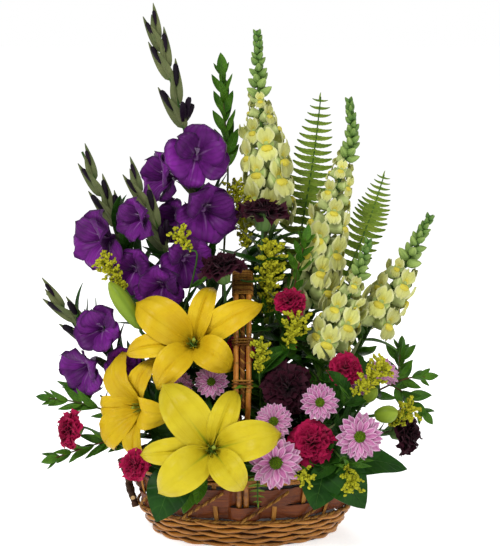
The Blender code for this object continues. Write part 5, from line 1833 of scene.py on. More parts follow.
    def build(self) -> None:
        """Model the four spikes."""
        shapes = ((0.54, 0.0), (0.42, 1.3), (0.56, 2.9), (0.44, 4.1), (0.50, 5.2))
        petals = [self.petal(wide, seed) for wide, seed in shapes]
        profile = [(0.03, -0.02), (0.62, 0.16), (0.95, 0.42), (1.0, 0.68), (0.86, 0.90), (0.5, 1.0)]
        bud = Bench.turned(9, profile, 3, 0.16)
        sheath = [leaf_form(0.105, -0.07, 0.02, 6, 9, widest=0.34, thick=0.02),
                  leaf_form(0.098, -0.07, -0.02, 6, 9, widest=0.31, thick=0.02)]
        for spike in self.spikes:
            piece = Piece(spike.node, "gladiolus")
            line = self.greens.stem(piece, spike.path, (0.0016, 0.0042))
            self.head(piece, spike, line, bud, sheath)
            for number, floret in enumerate(spike.florets):
                six = [petals[(number * 2 + k) % len(petals)] for k in range(6)]
                self.floret(piece, floret, six, line, sheath)
            low = spike.florets[-1].place[2] - 0.03
            if spike.buds > 6:
                self.greens.leafy(piece, line, self.greens.sword, Plant.dusk, low, 0.13, 4, 0.10, 0.3)
            count = 22 + spike.buds
            self.greens.leafy(piece, line, self.greens.lance, Plant.dusk, low + 0.08, 0.13, count, 0.060, 0.5)
            piece.made(70)


@dataclass(frozen=True)
class Column:
    """A snapdragon: its node, path, lowest floret's height, widest radius, and share of it that is buds."""

    node: str
    path: tuple
    low: float
    girth: float
    opens: float


@dataclass
class Snapdragons:
    """Columns of two-lipped florets that narrow to green buds at the tip."""

    greens: Greens
    first_bud: float = 0.002
    bud_size: float = 0.0065
    bud_step: float = 0.0017
    bud_step_growth: float = 0.0064
    floret_step: float = 0.0078
    floret_step_loss: float = 0.0016
    columns: tuple = (
        Column("snapdragon_tall", run((16, 50, 656), (18, 50, 583), (22, 46, 527), (30, 42, 440),
                                      (36, 30, 300), (28, 12, 85)), 0.400, 0.026, 0.34),
        Column("snapdragon_mid", run((135, 28, 568), (139, 28, 517), (127, 26, 476), (112, 22, 420),
                                     (96, 16, 350), (76, 12, 270), (48, 9, 85)), 0.290, 0.026, 0.29),
        Column("snapdragon_right", run((240, 4, 420), (214, 4, 365), (196, 4, 330), (168, 4, 280),
                                       (120, 0, 190), (60, 2, 85)), 0.270, 0.024, 0.42),
        Column("snapdragon_short", run((158, -30, 392), (146, -34, 353), (130, -38, 313), (106, -40, 250),
                                       (56, -12, 85)), 0.240, 0.023, 0.34),
    )

    def lip(self, lobes: int, wide: float, droop: float, seed: float) -> Form:
        """Model a lip of a floret of length 1: a ruffled fan cut into lobes.

        Args:
            lobes: how many lobes.
            wide: half its width at the rim.
            droop: how far its rim rolls back.
            seed: shifts its ruffles.

        Returns:
            The lip, its length along +Y.
        """

        def shape(x: Array, t: Array) -> tuple:
            """Return where the corners at X and T go."""
            half = (0.18 + (wide - 0.18) * np.sin(0.5 * np.pi * np.clip(1.25 * t, 0, 1))) * (1 - 0.30 * t**5)
            if lobes == 2:
                notch = 1 - 0.36 * t**2 * np.exp(-((x / 0.28) ** 2))
            else:
                notch = 1 - 0.34 * t**2 * np.abs(np.cos(0.5 * np.pi * (lobes * (x + 1) + 1)))
            length = t * notch * (1 - 0.30 * x * x)
            ruffle = 0.075 * t * (np.sin(7 * x + seed) + 0.6 * np.sin(13 * x - seed * 2 + 5 * t))
            return x * half, length, 0.20 * x * x * (1 - t) - droop * t**2.2 + ruffle

        return Bench.leaf(8, 5, 0.03, shape)

    def floret(self, piece: Piece, base: Matrix, lips: Forms, throat: Form, palate: Form, bud: Form) -> None:
        """Add an open floret: its tube, two lips, yellow palate and cup.

        Args:
            piece: where it goes.
            base: its place, turn and size.
            lips: the upper and the lower lip's shape.
            throat: the tube's shape.
            palate: the palate's shape.
            bud: the shape of its cup.
        """
        chance = piece.chance
        piece.add(throat, Plant.tube, base, 0.7)
        pose = move(0, 0.10, 0.74) @ spin(0.95 + chance.uniform(-0.2, 0.2), "X")
        piece.add(lips[0], Plant.dragon, base @ pose @ stretch(0.66))
        pose = move(0, -0.10, 0.76) @ spin(math.pi) @ spin(0.62 + chance.uniform(-0.2, 0.2), "X")
        piece.add(lips[1], Plant.dragon, base @ (pose @ stretch(0.64)))
        piece.add(palate, Plant.palate, base @ move(0, -0.16, 0.84))
        piece.add(bud, Plant.green_bud, base @ stretch(0.26, 0.26, 0.34), 0.0)

    def build(self) -> None:
        """Model the four columns."""
        upper = [self.lip(2, 0.66, 0.40, seed) for seed in (0.4, 2.0)]
        lower = [self.lip(3, 0.74, 0.50, seed) for seed in (1.1, 3.0)]
        profile = [(0.10, 0), (0.25, 0.12), (0.33, 0.34), (0.35, 0.56), (0.40, 0.72), (0.34, 0.80)]
        throat = Bench.turned(9, profile)
        profile = [(0.12, 0), (0.80, 0.14), (1.0, 0.36), (0.82, 0.62), (0.44, 0.86), (0.06, 1.0)]
        bud = Bench.turned(8, profile, 4, 0.07)
        ball = Bench.ball(2)
        Bench.shaped(ball, lambda x, y, z: (0.22 * x + 0.05 * np.sign(x), 0.15 * y, 0.12 * z))
        palate = Bench.taken(ball)
        for column in self.columns:
            piece = Piece(column.node, "snapdragon")
            chance = piece.chance
            line = self.greens.stem(piece, column.path, (0.0013, 0.0034), steps=10)
            shown = [point for point in line if point.z >= column.low]
            runs = lengths(shown)
            reached, number = self.first_bud, 0
            while reached < runs[-1]:
                share = reached / runs[-1]
                i = min(int(np.searchsorted(runs, reached)), len(shown) - 2)
                spot, along = shown[i], (shown[max(i - 1, 0)] - shown[i + 1]).normalized()
                swell = column.girth * (0.20 + 0.80 * min(1.0, share * 1.7) ** 1.25)
                angle = number * GOLDEN_ANGLE + chance.uniform(-0.2, 0.2)
                side = (Matrix.Rotation(angle, 3, along) @ along.orthogonal()).normalized()
                if share < column.opens:
                    size = self.bud_size + (0.62 + 0.9 * share) * swell
                    out = (side * (0.48 + 1.7 * share) + along * (1.0 - share)).normalized()
                    turned = facing(spot + side * 0.0008, out, chance.uniform(0, 6))
                    turned = turned @ stretch(0.31 * size, 0.31 * size, size)
                    tone = min(1.0, 0.15 + 1.9 * share + chance.uniform(-0.1, 0.1))
                    piece.add(bud, Plant.green_bud, turned, tone)
                    if number % 2 == 0:
                        tip = spot + (side + 0.5 * along).normalized() * size * 0.7
                        piece.add(self.greens.lance[0], Plant.sheath, lying(spot, tip, along, 1.3))
                    reached += self.bud_step + self.bud_step_growth * share
                else:
                    grown = 0.95 + 0.40 * min(1.0, 2.2 * (share - column.opens))
                    size = max(swell, 0.66 * column.girth) * grown * chance.uniform(0.92, 1.10)
                    out = (side + along * chance.uniform(0.05, 0.5)).normalized()
                    base = Matrix.Translation(spot) @ out.to_track_quat("Z", "Y").to_matrix().to_4x4()
                    up = base.to_3x3().inverted() @ along
                    base = base @ spin(math.atan2(up.y, up.x) - math.pi / 2) @ stretch(size)
                    self.floret(piece, base, (upper[number % 2], lower[number % 2]), throat, palate, bud)
                    reached += self.floret_step - self.floret_step_loss * share
                number += 1
            self.greens.leafy(piece, line, self.greens.lance, Plant.myrtle, column.low, 0.15, 24, 0.048, 0.7)
            piece.made(60)


@dataclass(frozen=True)
class Spray:
    """A stem with open flowers: its node, the flowers, and where its cut end stands in the foam."""

    node: str
    blooms: tuple
    end: Triple


class Dye(Enum):
    """The colours of the carnations, each with its slot and its petals' finish."""

    BURGUNDY = ("burgundy", Plant.burgundy)
    MAGENTA = ("magenta", Plant.magenta)


@dataclass
class Carnations:
    """Domes of ruffled, toothed petals on long green cups."""

    greens: Greens
    back: float = 0.98
    count: int = 38
    burgundy: tuple = (
        Spray("carnation_burgundy_top", (Bloom(at(24, -4, 432), (0.05, 0.10, 1), 0.032),), at(34, 2, 83)),
        Spray("carnation_burgundy_mid", (Bloom(at(-29, -64, 370), (-0.1, -0.15, 1), 0.029),),
              at(-28, -10, 83)),
        Spray("carnation_burgundy_front", (Bloom(at(56, -100, 216), (0.15, -1, 0.35), 0.032),),
              at(22, -30, 83)),
        Spray("carnation_burgundy_right", (Bloom(at(216, -40, 142), (1, -0.45, 0.15), 0.029),),
              at(70, -14, 90)),
    )
    magenta: tuple = (
        Spray("carnation_magenta_top", (Bloom(at(59, -46, 320), (0.2, -0.7, 0.9), 0.021),), at(22, -8, 83)),
        Spray("carnation_magenta_centre", (Bloom(at(-6, -58, 256), (0.1, -1, 0.5), 0.02),), at(-4, -20, 83)),
        Spray("carnation_magenta_right", (Bloom(at(128, -96, 240), (0.3, -1, 0.35), 0.021),),
              at(42, -32, 83)),
        Spray("carnation_magenta_front", (Bloom(at(84, -140, 154), (0.1, -1, 0.15), 0.028),),
              at(26, -42, 88)),
        Spray("carnation_magenta_left", (Bloom(at(-140, -140, 128), (-0.5, -1, 0.35), 0.019),
                                         Bloom(at(-232, -56, 150), (-1, -0.5, 0.15), 0.024)),
              at(-62, -26, 90)),
        Spray("carnation_magenta_back", (Bloom(at(90, 112, 235), (0.3, 1, 0.7), 0.027),), at(44, 30, 83)),
    )

    def blooms(self) -> list[Bloom]:
        """Return the open flowers."""
        return [bloom for spray in self.burgundy + self.magenta for bloom in spray.blooms]

    def petal(self, seed: float, deep: float) -> Form:
        """Model a fan-shaped petal of length 1 with a ruffled, toothed rim.

        Args:
            seed: shifts its ruffles.
            deep: how deep they are.

        Returns:
            The petal.
        """

        def shape(x: Array, t: Array) -> tuple:
            """Return where the corners at X and T go."""
            teeth = 1 - 0.050 * (np.rint((x + 1) * 7) % 2) * (t > 0.95)
            ruffle = deep * t**2 * (np.sin(5.0 * x + seed) + 0.45 * np.sin(10.5 * x + 2.1 * seed))
            return (x * (0.05 + 0.60 * t**1.3), t * teeth * (1 - 0.16 * x * x),
                    ruffle - 0.14 * t**3 + 0.10 * x * x * t)

        return Bench.leaf(14, 6, 0.020, shape)

    def flower(self, piece: Piece, bloom: Bloom, petals: Forms, finish: Finish) -> Vector:
        """Add one flower.

        Args:
            piece: where it goes.
            bloom: its place, look and radius.
            petals: the petal shapes.
            finish: the petals' finish.

        Returns:
            The place where its stem starts.
        """
        look, size, chance = bloom.way(), bloom.radius, piece.chance
        root = Vector(bloom.place) - look * self.back * size
        heart = root + look * 0.62 * size
        turn_to = facing(heart, look).to_3x3()
        widest = 76 if look.z > 0.9 else 84
        for number in range(self.count):
            share = (number + 0.5) / self.count
            polar = math.radians(8 + widest * share**0.72 + chance.uniform(-5, 5))
            turn = number * GOLDEN_ANGLE
            rise, reach = math.cos(polar), math.sin(polar)
            way = Vector((reach * math.cos(turn), reach * math.sin(turn), rise))
            out = Vector((rise * math.cos(turn), rise * math.sin(turn), -reach))
            length = size * (0.62 + 0.42 * share) * chance.uniform(0.94, 1.05)
            twist = Matrix.Rotation(chance.uniform(-1, 1) * (1.5 - 1.15 * share), 3, way)
            tip, face = heart + turn_to @ way * length, turn_to @ (twist @ -out)
            turned = lying(heart, tip, face, 0.95 + 0.25 * share)
            piece.add(petals[number % len(petals)], finish, turned, 0.25 + 0.6 * share)
        cup = [(0.20, 0), (0.29, 0.08), (0.33, 0.30), (0.35, 0.55), (0.40, 0.72)]
        form = Bench.turned(15, [(r * size, h * size) for r, h in cup], 5, 0.04)
        piece.add(form, Plant.cup, facing(root, look), 0.4)
        for k in range(5):
            out = Matrix.Rotation(2 * math.pi * k / 5, 3, look) @ look.orthogonal().normalized()
            start = root + look * 0.50 * size + out * 0.28 * size
            tip = start + (look + 0.25 * out) * 0.34 * size
            piece.add(self.greens.oval[0], Plant.cup, lying(start, tip, out, 1.5))
        return root

    def build(self) -> None:
        """Model all flowers of both colours."""
        shapes = ((0.0, 0.12), (1.1, 0.15), (2.3, 0.11), (3.7, 0.16), (5.0, 0.13))
        petals = [self.petal(seed, deep) for seed, deep in shapes]
        greens = self.greens
        for dye, sprays in ((Dye.BURGUNDY, self.burgundy), (Dye.MAGENTA, self.magenta)):
            slot, finish = dye.value
            for spray in sprays:
                piece = Piece(spray.node, slot)
                roots = [(self.flower(piece, bloom, petals, finish), bloom.way()) for bloom in spray.blooms]
                line = greens.stem(piece, route(*roots[0], spray.end, 0.3), (0.0018, 0.0022), Plant.cup)
                for root, look in roots[1:]:
                    greens.side_stem(piece, root, look, line, 0.62, 0.0016, Plant.cup)
                top = line[0].z
                greens.leafy(piece, line, greens.sword, Plant.sheath, top, 0.13, 7, 0.05, 0.5)
                count = 8 + round(60 * max(0.0, top - 0.2))
                greens.leafy(piece, line, greens.oval, Plant.dusk, top - 0.03, 0.12, count, 0.048, 0.8)
                piece.made(60)


@dataclass
class Daisies:
    """Double lavender daisies, two on each branching stem; a row is its count, reach, tilt and lift."""

    greens: Greens
    rows: tuple = ((17, 1.06, 0.06, 0.0), (16, 0.99, 0.17, 0.10), (12, 0.80, 0.36, 0.2))
    beads: int = 56
    sprays: tuple = (
        Spray("daisy_spray_front", (Bloom(at(38, -157, 136), (0.05, -1, 0.12), 0.033),
                                    Bloom(at(36, -128, 180), (-0.1, -1, 0.45), 0.024)), at(12, -34, 80)),
        Spray("daisy_spray_right", (Bloom(at(141, -146, 166), (0.25, -1, 0.15), 0.03),
                                    Bloom(at(93, -122, 203), (0.1, -1, 0.35), 0.024)), at(46, -36, 80)),
        Spray("daisy_spray_upper", (Bloom(at(178, -56, 226), (0.6, -0.6, 0.8), 0.022),
                                    Bloom(at(148, -50, 208), (0.3, -0.8, 0.8), 0.017)), at(58, -8, 80)),
        Spray("daisy_spray_left", (Bloom(at(-42, -92, 222), (-0.15, -1, 0.4), 0.022),
                                   Bloom(at(-82, -72, 212), (-0.3, -1, 0.5), 0.018)), at(-30, -34, 80)),
        Spray("daisy_spray_back", (Bloom(at(-70, 122, 210), (-0.2, 1, 0.6), 0.029),
                                   Bloom(at(-110, 98, 165), (-0.5, 1, 0.4), 0.025)), at(-34, 36, 80)),
    )

    def blooms(self) -> list[Bloom]:
        """Return the open flowers."""
        return [bloom for spray in self.sprays for bloom in spray.blooms]

    def ray(self, bend: float, notch: float) -> Form:
        """Model a ray petal of length 1 with a notched tip and two shallow grooves.

        Args:
            bend: how far its tip bends up.
            notch: how deep its tip is notched.

        Returns:
            The ray.
        """

        def shape(x: Array, t: Array) -> tuple:
            """Return where the corners at X and T go."""
            half = 0.05 + 0.115 * np.sin(np.pi * np.clip(t, 0, 1) ** 1.5) ** 0.8 - 0.035 * t**6
            length = t * (1 - notch * t**6 * np.abs(np.cos(1.5 * np.pi * x)) * 0.6 - 0.05 * x * x * t)
            return x * half, length, bend * t * t + 0.030 * np.cos(2 * np.pi * x) * np.sin(np.pi * t)

        return Bench.leaf(4, 6, 0.020, shape)

    def flower(self, piece: Piece, bloom: Bloom, rays: Forms, bead: Form) -> None:
        """Add one flower: rows of rays and a dome of small green florets.

        Args:
            piece: where it goes.
            bloom: its place, look and radius.
            rays: the rays' shapes.
            bead: the small floret's shape.
        """
        look, size, chance = bloom.way(), bloom.radius, piece.chance
        base = facing(bloom.place, look)
        for row, (count, reach, tilt, lift) in enumerate(self.rows):
            for k in range(count):
                angle = 2 * math.pi * (k + 0.5 * (row % 2) + chance.uniform(-0.18, 0.18)) / count
                turned = base @ spin(angle) @ move(0, 0.06 * size, lift * 0.12 * size)
                turned = turned @ spin(tilt * 0.9 + chance.uniform(-0.07, 0.09), "X")
                length = size * reach * 0.94 * chance.uniform(0.95, 1.04)
                scale = stretch(length * 1.05, length, length)
                piece.add(rays[k % len(rays)], Plant.daisy, turned @ scale)
        for k in range(self.beads):
            out, angle = math.sqrt((k + 0.5) / self.beads), k * GOLDEN_ANGLE
            wide = 0.25 * out
            spot = Vector((wide * math.cos(angle), wide * math.sin(angle), 0.09 + 0.10 * (1 - out * out)))
            turned = base @ Matrix.Translation(spot * size) @ stretch(0.040 * size)
            piece.add(bead, Plant.eye, turned, chance.uniform(0.2, 1))
        cup = [(0.10, -0.20), (0.26, -0.12), (0.36, 0.0), (0.30, 0.04)]
        form = Bench.turned(12, [(r * size, h * size) for r, h in cup], 6, 0.05)
        piece.add(form, Plant.cup, base, 0.3)

    def build(self) -> None:
        """Model the five sprays."""
        shapes = ((0.05, 0.08), (-0.10, 0.05), (-0.02, 0.10), (0.12, 0.04))
        rays = [self.ray(bend, notch) for bend, notch in shapes]
        bead = Bench.taken(Bench.ball(1))
        greens = self.greens
        for spray in self.sprays:
            piece = Piece(spray.node, "daisy")
            for bloom in spray.blooms:
                self.flower(piece, bloom, rays, bead)
            backs = [(Vector(bloom.place) - bloom.way() * 0.15 * bloom.radius, bloom.way())
                     for bloom in spray.blooms]
            line = greens.stem(piece, route(*backs[0], spray.end, 0.25), (0.0016, 0.0020))
            for back, look in backs[1:]:
                twig = greens.side_stem(piece, back, look, line, 0.55, 0.0014)
                greens.leafy(piece, twig, greens.cut, Plant.dusk, back.z - 0.022, 0.1, 4, 0.036, 0.7)
            greens.leafy(piece, line, greens.cut, Plant.dusk, line[0].z - 0.012, 0.10, 14, 0.044, 0.75)
            piece.made(60)


# --- Fillers ---


@dataclass
class Solidagos:
    """Plumes of tiny yellow buds; a spray is its plumes' tips, roots and radii, and its stem's path."""

    greens: Greens
    twig: float = 0.00035
    twig_step: float = 0.0024
    bud_step: float = 0.0016
    bud_stray: float = 0.0022
    bud_sizes: tuple[float, float] = (0.0012, 0.0021)
    sprays: tuple = (
        ("solidago_top", ((at(-14, 36, 462), at(2, 30, 372), 0.012),
                          (at(36, -22, 392), at(27, -20, 292), 0.013)),
         run((14, 28, 330), (10, 20, 220), (2, 14, 80))),
        ("solidago_left", ((at(-184, -40, 372), at(-152, -40, 330), 0.010),
                           (at(-84, -58, 410), at(-70, -58, 384), 0.009)),
         run((-118, -28, 270), (-82, -10, 180), (-50, 6, 80))),
        ("solidago_centre", ((at(20, -104, 276), at(18, -92, 234), 0.009),
                             (at(66, -72, 300), at(54, -66, 262), 0.013)),
         run((20, -66, 180), (16, -24, 80))),
        ("solidago_right", ((at(176, -106, 250), at(134, -116, 210), 0.012),
                            (at(214, -82, 186), at(184, -76, 160), 0.011)),
         run((100, -76, 158), (62, -28, 80))),
        ("solidago_front", ((at(134, -166, 104), at(126, -150, 132), 0.009),
                            (at(76, -168, 118), at(70, -142, 126), 0.008)),
         run((94, -97, 149), (50, -44, 110))),
        ("solidago_back", ((at(-42, 132, 196), at(-38, 104, 170), 0.011),
                           (at(-112, 60, 196), at(-88, 52, 166), 0.011)),
         run((-34, 72, 140), (-24, 34, 80))),
    )

    def plume(self, piece: Piece, tip: Vector, root: Vector, radius: float, bead: Form) -> None:
        """Add a plume: short arching twigs round an axis, each lined with buds.

        Args:
            piece: where it goes.
            tip: the plume's tip.
            root: its foot.
            radius: half its width.
            bead: the bud's shape.
        """
        chance, axis = piece.chance, tip - root
        way = axis.normalized()
        side = way.orthogonal().normalized()
        other = way.cross(side)
        twigs = max(12, round(axis.length / self.twig_step))
        for number in range(twigs):
            share = (number + 0.5) / twigs
            turn = number * GOLDEN_ANGLE
            out = side * math.cos(turn) + other * math.sin(turn)
            full = math.sin(math.pi * min(1.0, 0.16 + 0.84 * (1 - share)) ** 0.9)
            reach = radius * (0.35 + 0.75 * full) * 1.30
            foot = root + axis * share * 0.92
            end = foot + out * reach + way * reach * chance.uniform(0.5, 0.9)
            bow = foot + out * reach * 0.55 + way * reach * 0.55
            line = smooth_path([foot, bow, end], 3)
            piece.add(rod(line, self.twig, 4), Plant.stem)
            buds = 2 * max(4, round(reach / self.bud_step))
            for k in range(buds):
                spot = line[min(int((k + 0.6) / buds * len(line)), len(line) - 1)]
                spot = spot + piece.stray(1) * self.bud_stray
                size = chance.uniform(*self.bud_sizes)
                aim = (out + way * 0.8 + piece.stray(0.6)).normalized()
                turned = facing(spot, aim) @ stretch(size, size, size * 1.45)
                piece.add(bead, Plant.gold, turned, chance.uniform(0.1, 1.0))

    def build(self) -> None:
        """Model the six sprays."""
        bead = Bench.taken(Bench.ball(1))
        greens = self.greens
        for node, plumes, path in self.sprays:
            piece = Piece(node, "solidago")
            roots = []
            for tip, root, radius in plumes:
                tip, root = Vector(tip), Vector(root)
                self.plume(piece, tip, root, radius, bead)
                piece.add(rod([root, root.lerp(tip, 0.9)], [0.0011, 0.0005], 6), Plant.stem)
                roots.append((root.lerp(tip, 0.05), (tip - root).normalized()))
            line = greens.stem(piece, [roots[0][0], *path], (0.0012, 0.0016))
            for root, look in roots[1:]:
                twig = greens.side_stem(piece, root, look, line, 0.5, 0.0012, steps=5, sides=6)
                greens.leafy(piece, twig, greens.lance, Plant.myrtle, 0.5, 0.1, 8, 0.026, 0.6)
            greens.leafy(piece, line, greens.lance, Plant.myrtle, line[0].z, 0.12, 14, 0.034, 0.65)
            greens.leafy(piece, line, greens.oval, Plant.dusk, line[0].z, 0.16, 14, 0.046, 0.8)
            piece.made(60)


@dataclass(frozen=True)
class Frond:
    """A fern: its node, path from tip to foot, leafy share of it, longest leaflet, pairs, and face."""

    node: str
    path: tuple
    leafy: float
    longest: float
    pairs: int
    face: Triple = (0, -1, 0)


@dataclass
class Ferns:
    """Fronds with lobed leaflets in close pairs."""

    greens: Greens
    fronds: tuple = (
        Frond("fern_tall", run((100, 74, 568), (94, 72, 513), (86, 68, 459), (76, 62, 400), (60, 54, 310),
                               (32, 40, 200), (12, 26, 85)), 0.66, 0.026, 22),
        Frond("fern_right", run((184, 60, 466), (173, 59, 431), (162, 56, 400), (142, 50, 350),
                                (105, 40, 265), (64, 18, 85)), 0.78, 0.023, 20),
        Frond("fern_front", run((16, -130, 74), (16, -124, 104), (15, -94, 132), (8, -42, 104)),
              0.60, 0.011, 8),
        Frond("fern_back", run((36, 168, 390), (35, 150, 340), (34, 124, 270), (32, 92, 190), (28, 42, 85)),
              0.75, 0.030, 16, (0, 1, 0)),
    )

    def leaflet(self, lobes: int, sweep: float) -> Form:
        """Model a leaflet of length 1 whose edges are cut into round lobes and whose tip sweeps forward.

        Args:
            lobes: how many lobes an edge has.
            sweep: how far its tip sweeps.

        Returns:
            The leaflet.
        """

        def shape(x: Array, t: Array) -> tuple:
            """Return where the corners at X and T go."""
            cut = (0.86 + 0.14 * np.abs(np.sin(np.pi * lobes * t))) * (0.55 + 0.45 * np.cos(1.2 * t))
            half = 0.16 * (1 - t) ** 0.5 * cut + 0.01
            return x * half + sweep * np.sin(2.6 * t), t, 0.05 * np.abs(x) - 0.16 * t * t

        return Bench.leaf(2, 4 * lobes, 0.014, shape)

    def build(self) -> None:
        """Model the four fronds."""
        hands = ((-1, self.leaflet(5, -0.10)), (1, self.leaflet(5, 0.10)))
        for frond in self.fronds:
            piece = Piece(frond.node, "fern")
            chance, face = piece.chance, Vector(frond.face)
            self.greens.stem(piece, frond.path, (0.0008, 0.0020))
            whole = smooth_path(frond.path, 10)
            line = whole[: round(frond.leafy * len(whole))]
            for pair in range(frond.pairs):
                share = (pair + 0.5) / frond.pairs
                root, along = stand(line, share * (len(line) - 1))
                side = along.cross(face).normalized()
                reach = frond.longest * (0.20 + 0.90 * math.sin(math.pi * min(share * 0.72 + 0.06, 0.60)))
                for hand, form in hands:
                    size = reach * chance.uniform(0.92, 1.08)
                    lift = face * size * chance.uniform(-0.1, 0.25)
                    tip = root + hand * side * size + along * 0.22 * size + lift
                    piece.add(form, Plant.fern, lying(root, tip, face, 1.0 + 0.35 * share))
            end = line[0] + (line[0] - line[1]).normalized() * 0.006
            piece.add(hands[0][1], Plant.fern, lying(line[1], end, face))
            high = min(0.24, whole[0].z)
            self.greens.leafy(piece, whole, self.greens.oval, Plant.dusk, high, 0.11, 8, 0.042, 0.8)
            piece.made(60)


@dataclass(frozen=True)
class Sprig:
    """A myrtle: its node, path, leafy share, leaf length, pairs, and twigs as tip, fork's share and pairs."""

    node: str
    path: tuple
    leafy: float
    leaf: float
    pairs: int
    twigs: tuple = ()


@dataclass
class Myrtles:
    """Sprays of small glossy leaves in crossed pairs."""

    greens: Greens
    sprigs: tuple = (
        Sprig("myrtle_tall", run((-31, 84, 604), (-27, 84, 540), (-23, 82, 460), (-30, 70, 300),
                                 (-20, 44, 85)), 0.48, 0.044, 10),
        Sprig("myrtle_left", run((-258, -24, 184), (-212, -22, 176), (-150, -20, 152), (-74, -12, 96)),
              0.85, 0.042, 7, ((at(-226, 2, 196), 0.4, 5), (at(-250, -52, 110), 0.8, 8))),
        Sprig("myrtle_right", run((238, 10, 204), (206, 8, 200), (150, 4, 170), (74, 8, 98)),
              0.85, 0.036, 7, ((at(206, 24, 240), 0.38, 5), (at(238, 12, 152), 0.44, 5))),
        Sprig("myrtle_centre", run((78, -14, 394), (66, -14, 340), (50, -12, 240), (34, -4, 85)),
              0.72, 0.036, 12),
        Sprig("myrtle_back", run((150, 110, 330), (125, 92, 270), (98, 60, 190), (56, 28, 85)),
              0.75, 0.034, 12, ((at(150, 112, 250), 0.5, 6),)),
    )

    def twig(self, piece: Piece, line: Line, reach: float, length: float, pairs: int) -> None:
        """Add pairs of leaves down a twig from its tip.

        Args:
            piece: where they go.
            line: the twig's line, from its tip down.
            reach: share of it that has leaves.
            length: a leaf's length.
            pairs: how many pairs.
        """
        chance, tip = piece.chance, line[0]
        flat = tip.x < -0.1
        spread, wide = (0.42, 1.2) if flat else (0.46, 1.35) if tip.z > 0.5 else (0.62, 1.7)
        front = Vector((0, 1 if tip.y > 0.1 else -1, 0.35))
        end = tip + (tip - line[1]).normalized() * (0.35 if flat else 0.5) * length
        piece.add(self.greens.oval[0], Plant.myrtle, lying(line[1], end, (0.3, -1, 0.3)))
        for pair in range(pairs):
            share = (pair + 0.7) / pairs
            root, along = stand(line, reach * share * (len(line) - 1))
            turn = 0.4 * (-1) ** pair if flat else 1.45 * pair
            side = Matrix.Rotation(turn + chance.uniform(-0.4, 0.4), 3, along) @ along.cross(-FRONT)
            side.normalize()
            size = length * min(1.0, 0.55 + 0.9 * share) * chance.uniform(0.82, 1.05)
            for hand in (-1, 1):
                tip = root + size * ((1.0 - 0.5 * spread) * along + hand * spread * side)
                face = front + 0.5 * along - 0.4 * hand * side + piece.stray(0.4)
                piece.add(self.greens.lance[(pair + hand) % 2], Plant.myrtle, lying(root, tip, face, wide))

    def build(self) -> None:
        """Model the five sprigs."""
        for sprig in self.sprigs:
            piece = Piece(sprig.node, "leaf")
            self.greens.stem(piece, sprig.path, (0.0009, 0.0018), Plant.woody)
            line = smooth_path(sprig.path, 10)
            self.twig(piece, line, sprig.leafy, sprig.leaf, sprig.pairs)
            for tip, share, pairs in sprig.twigs:
                fork = line[round(share * (len(line) - 1))]
                twig = smooth_path([Vector(tip), Vector(tip).lerp(fork, 0.5) + UP * 0.006, fork], 8)
                piece.add(rod(twig, 0.0010, 6), Plant.woody)
                self.twig(piece, twig, 0.9, sprig.leaf, pairs)
            high = min(0.26, line[0].z - 0.016)
            self.greens.leafy(piece, line, self.greens.oval, Plant.dusk, high, 0.10, 20, 0.044, 0.8)
            piece.made(60)


